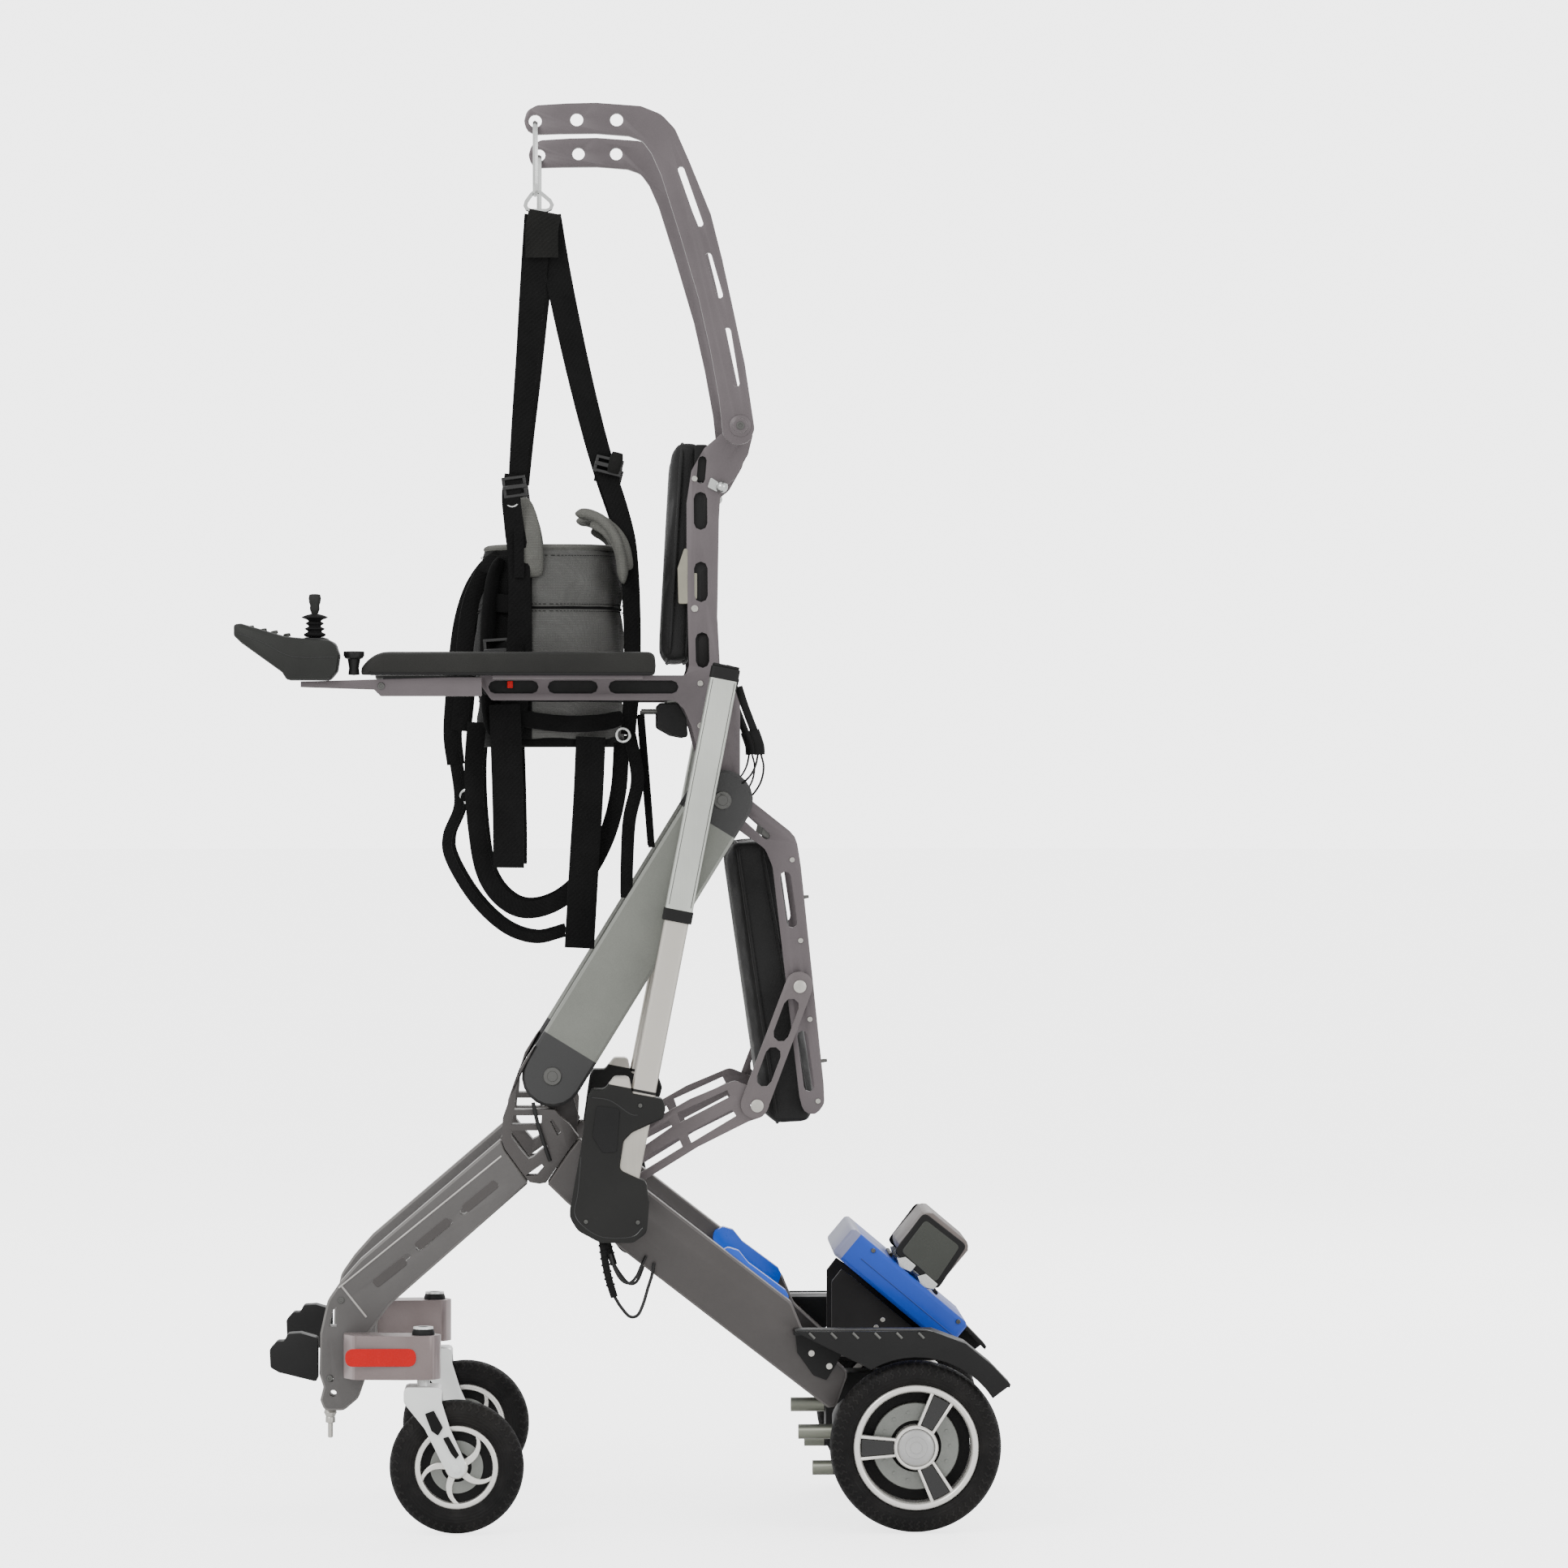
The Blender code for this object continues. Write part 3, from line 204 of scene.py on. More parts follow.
    def rough(self, socket):
        self.put(self.b.inputs["Roughness"], socket)
        return self

    def metal(self, socket):
        self.put(self.b.inputs["Metallic"], socket)
        return self

    def bump(self, height, distance, strength=1.0):
        n = self.t.nodes.new("ShaderNodeBump")
        n.inputs["Distance"].default_value = distance
        n.inputs["Strength"].default_value = strength
        self.t.links.new(height, n.inputs["Height"])
        if self.height is not None:
            self.t.links.new(self.height, n.inputs["Normal"])
        self.height = n.outputs[0]
        self.t.links.new(self.height, self.b.inputs["Normal"])
        return self


def scaled(c, f):
    return tuple(min(1.0, x * f) for x in c)


def paint(name, colour, rough=0.42, metal=0.35, edge=None, grain=1400, peel=0.00004, amount=0.12, zones=(), coat=0.0):
    """Powder coat or satin metal: cloudy tone, fine peel, a painted highlight on the cut edges and on every other face
    turned away from the sides, tops included, and zones of other finish.
    """
    s = Surface(name, rough, metal, coat)
    cloud = s.noise(7, 5, 0.6)
    c = s.mix(s.remap(cloud, 0.3, 0.7), scaled(colour, 1 - amount), scaled(colour, 1 + amount))
    fine = s.noise(grain, 2, 0.5)
    c = s.mix(s.remap(fine, 0.35, 0.75, 0.0, 0.25), c, scaled(colour, 1.5))
    r = s.remap(s.noise(30, 4, 0.6), 0.3, 0.7, rough - 0.07, rough + 0.09)
    m = metal
    scratch = s.noise(60, 6, 0.7, s.stretch(1, 1, 7))
    c = s.mix(s.remap(scratch, 0.68, 0.78, 0.0, 0.30), c, scaled(colour, 1.9))
    # painted highlight: the edge colour laid on cut edges and on faces turned away from the sides
    if edge:
        c = s.mix(s.math("MULTIPLY", s.edge_highlight_mask(), 0.75), c, edge)
    for mask, col, zr, zm in zones:
        k = mask(s)
        c = s.mix(k, c, col)
        r = s.blendf(k, r, zr)
        m = s.blendf(k, m, zm)
    s.colour(c).rough(r)
    if isinstance(m, bpy.types.NodeSocket):
        s.metal(m)
    return s.bump(fine, peel, 0.6).mat


def plastic(name, colour, rough=0.5, grain=1100, depth=0.00006, amount=0.18, coat=0.0, zones=()):
    s = Surface(name, rough, 0.0, coat)
    c = s.mix(s.remap(s.noise(9, 5), 0.3, 0.7), scaled(colour, 1 - amount), scaled(colour, 1 + amount))
    c = s.mix(s.remap(s.noise(55, 6, 0.75), 0.62, 0.80, 0.0, 0.35), c, scaled(colour, 2.0))
    texture = s.cells(grain)
    r = s.remap(s.noise(24, 4), 0.3, 0.7, rough - 0.08, rough + 0.08)
    for mask, col, zr, zm in zones:
        k = mask(s)
        c = s.mix(k, c, col)
        r = s.blendf(k, r, zr)
        s.metal(s.math("MULTIPLY", k, zm))
    return s.colour(c).rough(r).bump(texture, depth, 0.5).mat


def brushed(name, colour, rough=0.3, along=(1, 1, 1), metal=1.0):
    s = Surface(name, rough, metal)
    lines = s.noise(500, 3, 0.6, s.stretch(*along))
    c = s.mix(s.remap(s.noise(10, 4), 0.3, 0.7), scaled(colour, 0.88), scaled(colour, 1.08))
    c = s.mix(s.remap(lines, 0.3, 0.7, 0.0, 0.25), c, scaled(colour, 0.7))
    return s.colour(c).rough(s.remap(lines, 0.2, 0.8, rough - 0.06, rough + 0.12)).bump(lines, 0.00003, 0.5).mat


def webbing(name, colour):
    """Woven strap: twill ribs across and along from the strap's own length and width, with fuzz, and the raised ribs
    painted lighter as a painted highlight.
    """
    s = Surface(name, 0.8, 0.0, sheen=0.25)
    ribs = s.wave(150, "Y", s.UV)
    warp = s.wave(200, "X", s.UV)
    diag = s.wave(90, "DIAGONAL", s.UV)
    h = s.math("ADD", s.math("MULTIPLY", ribs, warp), s.math("MULTIPLY", diag, 0.6))
    c = s.mix(s.remap(s.noise(25, 4), 0.3, 0.7), scaled(colour, 0.75), scaled(colour, 1.3))
    # painted highlight: lighter on the raised ribs of the weave
    c = s.mix(s.remap(h, 0.3, 1.3, 0.0, 0.6), c, scaled(colour, 2.1))
    return s.colour(c).rough(s.remap(s.noise(300, 3), 0.3, 0.7, 0.7, 0.92)).bump(h, 0.0004, 0.8).bump(s.noise(1500, 2), 0.0002, 0.4).mat


def cloth(name, colour, zones=(), weave=130):
    """Spacer mesh fabric: crossed threads in object coordinates, cloudy tone, soft folds."""
    s = Surface(name, 0.85, 0.0, sheen=0.3)
    xy = s.math("ADD", 0.0, 0.0)
    up = s.wave(weave, "Z")
    ax = s.wave(weave, "X")
    ay = s.wave(weave, "Y")
    h = s.math("MULTIPLY", up, s.math("MAXIMUM", ax, ay))
    c = s.mix(s.remap(s.noise(12, 5, 0.65), 0.3, 0.7), scaled(colour, 0.8), scaled(colour, 1.18))
    # painted shade: darker in the gaps between the raised threads
    c = s.mix(s.remap(h, 0.15, 0.8, 0.45, 0.0), c, scaled(colour, 0.45))
    c = s.mix(s.remap(s.noise(700, 3), 0.5, 0.8, 0.0, 0.4), c, scaled(colour, 1.6))
    for mask, col in zones:
        # painted shade and highlight: the zone colour darker in the gaps and lighter on the threads
        dark = s.mix(s.remap(h, 0.15, 0.8), scaled(col, 0.7), scaled(col, 1.5))
        c = s.mix(mask(s), c, dark)
    return s.colour(c).bump(s.noise(45, 4), 0.004, 0.35).bump(h, 0.0006, 0.7).mat


def leather(name, colour, rough=0.5):
    s = Surface(name, rough, 0.0, spec=0.45, sheen=0.05)
    grain = s.cells(520)
    fine = s.noise(900, 4, 0.6)
    h = s.math("ADD", grain, s.math("MULTIPLY", fine, 0.5))
    c = s.mix(s.remap(s.noise(8, 5), 0.3, 0.7), scaled(colour, 0.8), scaled(colour, 1.25))
    c = s.mix(s.remap(grain, 0.0, 0.35, 0.4, 0.0), c, scaled(colour, 0.5))
    return s.colour(c).rough(s.remap(s.noise(18, 5), 0.3, 0.7, rough - 0.08, rough + 0.12)).bump(h, 0.00035, 0.6).bump(s.noise(28, 4), 0.003, 0.25).mat


def tyre_rubber(name, cx, cz, inner, outer, blocks):
    """Rubber with a block tread on the shoulder, from the angle about the axle."""
    s = Surface(name, 0.62, 0.0)
    x = s.t.nodes.new("ShaderNodeSeparateXYZ")
    s.t.links.new(s.P, x.inputs[0])
    dx = s.math("SUBTRACT", x.outputs[0], cx)
    dz = s.math("SUBTRACT", x.outputs[2], cz)
    angle = s.math("ARCTAN2", dz, dx)
    radius = s.math("SQRT", s.math("ADD", s.math("MULTIPLY", dx, dx), s.math("MULTIPLY", dz, dz)))
    wob = s.math("MULTIPLY", s.math("SINE", s.math("MULTIPLY", radius, 900.0)), 0.9)
    tread = s.math("SINE", s.math("ADD", s.math("MULTIPLY", angle, float(blocks)), wob))
    tread = s.remap(tread, 0.2, 0.7)
    band = s.math("MULTIPLY", s.remap(radius, inner, inner + 0.001), s.remap(radius, outer + 0.02, outer + 0.019))
    tread = s.math("MULTIPLY", tread, band)
    ring = s.math("MULTIPLY", s.math("ADD", s.math("SINE", s.math("MULTIPLY", radius, 1500.0)), 1.0), s.remap(radius, inner, inner - 0.001))
    c = s.mix(s.remap(s.noise(20, 5), 0.3, 0.7), srgb(11, 11, 11), srgb(21, 20, 20))
    c = s.mix(s.math("MULTIPLY", tread, 0.25), c, srgb(44, 43, 42))
    dust = s.remap(s.noise(6, 6, 0.7), 0.5, 0.85, 0.0, 0.07)
    c = s.mix(dust, c, srgb(110, 105, 98))
    return s.colour(c).rough(s.remap(s.noise(60, 4), 0.3, 0.7, 0.5, 0.78)).bump(tread, 0.0012, 0.9).bump(ring, 0.0003, 0.6).bump(s.noise(800, 2), 0.0001, 0.5).mat


AX0, AZ0 = -0.0026, 0.4537
AX, AZ = 0.1910, 0.9816


def up_actuator(at):
    return (AX, 0, AZ), AX * AX0 + AZ * AZ0 + at


# the edge= colour of each paint is a painted highlight on its cut edges and tops
PLATE = paint("plate_grey_paint", srgb(84, 78, 80), 0.40, 0.45, edge=srgb(150, 146, 146))
RAIL = paint("rail_paint", srgb(62, 59, 58), 0.42, 0.4, edge=srgb(112, 108, 106))
LEG = paint("leg_paint", srgb(78, 76, 75), 0.42, 0.4, edge=srgb(140, 137, 134))
MAUVE = paint("caster_arm_paint", srgb(108, 97, 96), 0.36, 0.45, edge=srgb(150, 138, 138), coat=0.2)
LINK = paint("link_grey_paint", srgb(90, 84, 85), 0.38, 0.5, edge=srgb(160, 156, 154))
CHASSIS = paint("chassis_black_paint", srgb(22, 21, 21), 0.5, 0.2, edge=srgb(72, 71, 70))
CDX, CDZ = 0.2386, 0.3869
CL = math.hypot(CDX, CDZ)
CDX, CDZ = CDX / CL, CDZ / CL
C0 = CDX * -0.0984 + CDZ * 0.6362
# its edge= colour is a painted highlight as well
COLUMN = paint(
    "column_sleeve", srgb(100, 102, 96), 0.5, 0.25, edge=srgb(150, 152, 146), grain=900, peel=0.0001,
    zones=(
        (lambda s: s.side((CDX, 0, CDZ), C0 + 0.418), srgb(30, 30, 30), 0.55, 0.0),
        (lambda s: s.math("SUBTRACT", 1.0, s.side((CDX, 0, CDZ), C0 + 0.048)), srgb(30, 30, 30), 0.55, 0.0),
    ),
)
SLEEVE = brushed("tube_silver_upper", srgb(186, 189, 182), 0.34, (1, 1, 0.02), 0.75)
HOUSING = plastic(
    "actuator_black", srgb(24, 24, 23), 0.48,
    zones=((lambda s: s.side(*up_actuator(0.168)), srgb(184, 180, 172), 0.36, 0.8),),
)
HOUSING_TUBE = brushed("drive_tube_silver", srgb(176, 172, 163), 0.4, (1, 1, 0.02), 0.6)
MOTOR_SKIN = plastic("motor_case_skin", srgb(26, 26, 26), 0.6)
# colour of the painted highlight line along the fold of the leg
LEG_FOLD_HIGHLIGHT = paint("leg_fold_highlight_paint", srgb(150, 147, 144), 0.4, 0.4)
BLUE_DARK = plastic("battery_seam_blue", srgb(18, 48, 110), 0.5)
CHROME = brushed("steel_bright", srgb(190, 192, 190), 0.24, (1, 0.05, 1))
ZINC = brushed("zinc_screws", srgb(178, 176, 170), 0.34, (1, 1, 1))
DARK_STEEL = brushed("dark_steel", srgb(92, 92, 90), 0.4, (1, 1, 1))
# edge= here is a painted highlight as well
FORK = paint("fork_silver_paint", srgb(206, 208, 206), 0.34, 0.35, edge=srgb(225, 226, 224), coat=0.25, amount=0.06)
BLACK = plastic("black_plastic", srgb(22, 22, 22), 0.5)
BLACK_GLOSS = plastic("black_gloss_plastic", srgb(14, 14, 14), 0.28, coat=0.3)
STICK = plastic("joystick_black", srgb(30, 31, 29), 0.55)
MOTOR = plastic("motor_black", srgb(18, 18, 18), 0.5, zones=((lambda s: s.math("SUBTRACT", 1.0, s.side((1, 0, 0), 0.2975)), srgb(120, 122, 112), 0.4, 0.8),))
BLUE = plastic("guard_blue", srgb(6, 78, 196), 0.3, amount=0.1, coat=0.3)
CASE = plastic(
    "case_blue", srgb(20, 62, 158), 0.34, amount=0.08, coat=0.2,
    zones=((lambda s: s.math("SUBTRACT", 1.0, s.side((math.cos(math.radians(40)), 0, -math.sin(math.radians(40))), 0.0)), srgb(118, 121, 146), 0.4, 0.0),),
)
SHELL = plastic("shell_grey", srgb(92, 85, 82), 0.42, amount=0.1)
PANEL = plastic("panel_grey_green", srgb(44, 46, 41), 0.3, coat=0.15)
RIM = paint("rim_silver", srgb(208, 206, 201), 0.26, 0.7, edge=None, amount=0.05, coat=0.3)
RIM_DARK = plastic("rim_inner_dark", srgb(16, 16, 16), 0.45)
DISC = brushed("brake_disc", srgb(120, 122, 118), 0.38, (1, 1, 1), 0.8)
CAP = brushed("hub_cap", srgb(168, 168, 167), 0.36, (1, 1, 1), 0.55)
RUBBER = plastic("soft_rubber", srgb(17, 17, 17), 0.7)
RED = plastic("reflector_red", srgb(172, 0, 2), 0.28, grain=500, depth=0.0003, amount=0.12, coat=0.15)
WEB = webbing("webbing_black", srgb(13, 13, 13))
WEB2 = webbing("webbing_worn", srgb(20, 20, 19))
VEST = cloth(
    "harness_grey_mesh", srgb(84, 84, 82),
    zones=((lambda s: s.math("SUBTRACT", 1.0, s.side((1, 0, 0), -0.128, 0.001)), srgb(13, 13, 13)),),
)
PAD_GREY = cloth("harness_pad_grey", srgb(92, 92, 88))
BINDING = webbing("binding_black", srgb(11, 11, 11))
SEAT_SKIN = leather("upholstery_black", srgb(18, 18, 18), 0.52)
ARM_SKIN = leather("armrest_skin", srgb(27, 27, 25), 0.58)
CABLE = plastic("cable_black", srgb(12, 12, 12), 0.45, grain=2000)
BEIGE = plastic("beige_clip", srgb(118, 115, 102), 0.45)

# ---- the carried-over parts keep their shape, with softened edges and a material ------------------------
def edge_group():
    g = bpy.data.node_groups.new("weld_for_edges", "GeometryNodeTree")
    g.interface.new_socket("Geometry", in_out="INPUT", socket_type="NodeSocketGeometry")
    g.interface.new_socket("Geometry", in_out="OUTPUT", socket_type="NodeSocketGeometry")
    i, o = g.nodes.new("NodeGroupInput"), g.nodes.new("NodeGroupOutput")
    merge = g.nodes.new("GeometryNodeMergeByDistance")
    merge.inputs["Distance"].default_value = 0.00002
    rem = g.nodes.new("GeometryNodeRemoveAttribute")
    rem.inputs["Name"].default_value = "custom_normal"
    g.links.new(i.outputs[0], rem.inputs["Geometry"])
    g.links.new(rem.outputs[0], merge.inputs["Geometry"])
    g.links.new(merge.outputs[0], o.inputs[0])
    return g


def smooth_group():
    g = bpy.data.node_groups.new("smooth_by_angle", "GeometryNodeTree")
    g.interface.new_socket("Geometry", in_out="INPUT", socket_type="NodeSocketGeometry")
    g.interface.new_socket("Geometry", in_out="OUTPUT", socket_type="NodeSocketGeometry")
    i, o = g.nodes.new("NodeGroupInput"), g.nodes.new("NodeGroupOutput")
    faces = g.nodes.new("GeometryNodeSetShadeSmooth")
    edges = g.nodes.new("GeometryNodeSetShadeSmooth")
    edges.domain = "EDGE"
    edges.inputs["Shade Smooth"].default_value = False
    angle = g.nodes.new("GeometryNodeInputMeshEdgeAngle")
    over = g.nodes.new("ShaderNodeMath")
    over.operation = "GREATER_THAN"
    over.inputs[1].default_value = math.radians(36)
    g.links.new(angle.outputs["Unsigned Angle"], over.inputs[0])
    g.links.new(over.outputs[0], edges.inputs["Selection"])
    g.links.new(i.outputs[0], faces.inputs["Geometry"])
    g.links.new(faces.outputs[0], edges.inputs["Geometry"])
    g.links.new(edges.outputs[0], o.inputs[0])
    return g


WELD, SMOOTH = edge_group(), smooth_group()
CAD_LOOK = {
    "side_plate": (PLATE, 0.0007), "hanger_arm": (PLATE, 0.0016), "hanger_cross_bar": (PLATE, 0.0), "seat_plate": (PLATE, 0.0007),
    "rear_rail": (RAIL, 0.002), "apex_bracket": (RAIL, 0.0015), "front_leg": (LEG, 0.002), "caster_arm": (MAUVE, 0.003),
    "column": (COLUMN, 0.0), "seat_link": (LINK, 0.0006), "seat_arm": (LINK, 0.0006), "rear_chassis": (CHASSIS, 0.001),
    "actuator_sleeve": (SLEEVE, 0.0), "actuator_housing": (HOUSING, 0.0), "cross_shaft": (CHROME, 0.0), "backrest_frame": (CHASSIS, 0.001),
    "battery_case": (CASE, 0.004), "control_unit": (SHELL, 0.007), "drive_motor": (MOTOR, 0.001), "caster_fork": (FORK, 0.001),
    "fender": (BLACK, 0.0006), "front_bumper": (BLACK, 0.003), "rail_guard": (BLUE, 0.0025), "joystick_arm": (PLATE, 0.001),
    "joystick_housing": (STICK, 0.0), "hook": (CHROME, 0.0),
}
for node_name, o in NODES.items():
    key = node_name
    for tail in ("_left", "_right"):
        if key.endswith(tail):
            key = key[: -len(tail)]
    if key not in CAD_LOOK:
        continue
    mat, width = CAD_LOOK[key]
    for i in range(len(o.material_slots)):
        o.material_slots[i].material = mat
    m = o.modifiers.new("weld", "NODES")
    m.node_group = WELD
    if width:
        bev = o.modifiers.new("edges", "BEVEL")
        bev.width, bev.segments, bev.limit_method, bev.angle_limit = width, 2, "ANGLE", math.radians(40)
        bev.use_clamp_overlap = True
    m = o.modifiers.new("smooth", "NODES")
    m.node_group = SMOOTH


# ---- geometry kit -------------------------------------------------------------------------------------
def made(name, bm, mat, body, angle=38, bevel=0.0, seg=2, sub=0):
    bmesh.ops.recalc_face_normals(bm, faces=bm.faces[:])
    me = bpy.data.meshes.new(name)
    bm.to_mesh(me)
    bm.free()
    o = bpy.data.objects.new(name, me)
    SCENE.collection.objects.link(o)
    me.materials.append(mat)
    me.polygons.foreach_set("use_smooth", [True] * len(me.polygons))
    me.set_sharp_from_angle(angle=math.radians(angle))
    if bevel:
        b = o.modifiers.new("bevel", "BEVEL")
        b.width, b.segments, b.limit_method, b.angle_limit = bevel, seg, "ANGLE", math.radians(40)
    if sub:
        b = o.modifiers.new("sub", "SUBSURF")
        b.levels = b.render_levels = sub
    if body:
        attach(o, body)
    return o


def prism(bm, outline, y0, y1):
    a = [bm.verts.new((x, y0, z)) for x, z in outline]
    b = [bm.verts.new((x, y1, z)) for x, z in outline]
    bm.faces.new(a)
    bm.faces.new(b[::-1])
    for i in range(len(a)):
        j = (i + 1) % len(a)
        bm.faces.new((a[i], a[j], b[j], b[i]))


def rounded(points, r, count=4):
    out, n = [], len(points)
    for i, p in enumerate(points):
        p, a, b = Vector(p), Vector(points[i - 1]), Vector(points[(i + 1) % n])
        u, v = (a - p).normalized(), (b - p).normalized()
        half = u.angle(v) / 2
        d = min(r / max(math.tan(half), 1e-3), (a - p).length * 0.48, (b - p).length * 0.48)
        s, e = p + u * d, p + v * d
        for k in range(count + 1):
            t = k / count
            q = s.lerp(p, t).lerp(p.lerp(e, t), t)
            out.append((q.x, q.y))
    return out


def lathe(bm, profile, centre, axis="Y", steps=64):
    """profile is (radius, place along the axis); a zero radius closes the form."""
    if isinstance(axis, str):
        w = Vector((0, 1, 0)) if axis == "Y" else Vector((0, 0, 1)) if axis == "Z" else Vector((1, 0, 0))
    else:
        w = Vector(axis).normalized()
    u = w.orthogonal().normalized()
    v = w.cross(u)
    c = Vector(centre)
    rows = []
    for r, a in profile:
        if r < 1e-6:
            rows.append([bm.verts.new(c + w * a)])
        else:
            rows.append([bm.verts.new(c + w * a + (u * math.cos(math.tau * i / steps) + v * math.sin(math.tau * i / steps)) * r) for i in range(steps)])
    for p, q in zip(rows, rows[1:]):
        for i in range(steps):
            j = (i + 1) % steps
            if len(p) == 1 and len(q) == 1:
                continue
            if len(p) == 1:
                bm.faces.new((p[0], q[i], q[j]))
            elif len(q) == 1:
                bm.faces.new((p[i], p[j], q[0]))
            else:
                bm.faces.new((p[i], p[j], q[j], q[i]))


def smooth_path(points, n=8):
    pts = [Vector(p) for p in points]
    ext = [pts[0] * 2 - pts[1]] + pts + [pts[-1] * 2 - pts[-2]]
    out = []
    for i in range(1, len(ext) - 2):
        a, b, c, d = ext[i - 1], ext[i], ext[i + 1], ext[i + 2]
        for k in range(n):
            t = k / n
            out.append(0.5 * ((2 * b) + (c - a) * t + (2 * a - 5 * b + 4 * c - d) * t * t + (3 * b - 3 * c + d - a) * t * t * t))
    out.append(pts[-1])
    return out


def tube(bm, points, r, seg=10):
    pts = [Vector(p) for p in points]
    n = Vector((0, 1, 0))
    rows = []
    for i, p in enumerate(pts):
        t = (pts[min(i + 1, len(pts) - 1)] - pts[max(i - 1, 0)]).normalized()
        n = (n - t * n.dot(t)).normalized() if abs(n.dot(t)) < 0.98 else t.orthogonal().normalized()
        b = t.cross(n)
        rows.append([bm.verts.new(p + (n * math.cos(math.tau * k / seg) + b * math.sin(math.tau * k / seg)) * r) for k in range(seg)])
    for p, q in zip(rows, rows[1:]):
        for k in range(seg):
            j = (k + 1) % seg
            bm.faces.new((p[k], p[j], q[j], q[k]))
    bm.faces.new(rows[0][::-1])
    bm.faces.new(rows[-1])


def ribbon(name, points, width, mat=None, thick=0.0022, body="harness", n=8, turn=0.0, turn_end=None, face=(0, 1, 0), wide_end=None):
    """A woven strap along a smooth path: its faces look along `face`, turned about its length from turn to turn_end degrees. UVs are metres."""
    pts = smooth_path(points, n)
    bm = bmesh.new()
    uv = bm.loops.layers.uv.new("UVMap")
    rows, dist, total = [], 0.0, sum((b - a).length for a, b in zip(pts, pts[1:]))
    turn_end = turn if turn_end is None else turn_end
    wide_end = width if wide_end is None else wide_end
    side_of = (-0.5, -0.42, 0.42, 0.5)
    for i, p in enumerate(pts):
        if i:
            dist += (p - pts[i - 1]).length
        t = (pts[min(i + 1, len(pts) - 1)] - pts[max(i - 1, 0)]).normalized()
        f = Vector(face)
        f = (f - t * f.dot(t)).normalized()
        share = dist / total
        f = Matrix.Rotation(math.radians(turn + (turn_end - turn) * share), 3, t) @ f
        w = t.cross(f).normalized()
        wide = width + (wide_end - width) * share
        ring = []
        for k, sgn in ((0, 0.35), (1, 0.5), (2, 0.5), (3, 0.35), (3, -0.35), (2, -0.5), (1, -0.5), (0, -0.35)):
            ring.append((bm.verts.new(p + w * side_of[k] * wide + f * thick * sgn), (side_of[k] * wide, dist)))
        rows.append(ring)
    for p, q in zip(rows, rows[1:]):
        for k in range(8):
            j = (k + 1) % 8
            face_ = bm.faces.new((p[k][0], p[j][0], q[j][0], q[k][0]))
            for loop, (_, c) in zip(face_.loops, (p[k], p[j], q[j], q[k])):
                loop[uv].uv = c
    for row in (rows[0], rows[-1]):
        face_ = bm.faces.new([v for v, _ in row])
        for loop, (_, c) in zip(face_.loops, row):
            loop[uv].uv = c
    return made(name, bm, mat or WEB, body, angle=60)


def mirrored(points, s):
    """Near-side points as they are, or reflected to the far side."""
    return [(p[0], p[1] * (1 if s < 0 else -1), p[2]) for p in points]


def screw(name, x, z, y, s, r=0.0045, body="base", mat=None, out=0.0022):
    """A cap screw with a hex socket, standing on a face at y and looking out on side s."""
    bm = bmesh.new()
    lathe(bm, [(0, 0), (r, 0), (r, s * out * 0.7), (r * 0.86, s * out), (r * 0.52, s * out), (r * 0.48, s * out * 0.35), (0, s * out * 0.35)], (x, y, z), "Y", 18)
    return made(name, bm, mat or ZINC, body)


# ---- wheels -------------------------------------------------------------------------------------------
def wheel_ring(bm, cx, cz, cy, prof, steps=96):
    lathe(bm, [(r, a) for r, a in prof], (cx, cy, cz), "Y", steps)


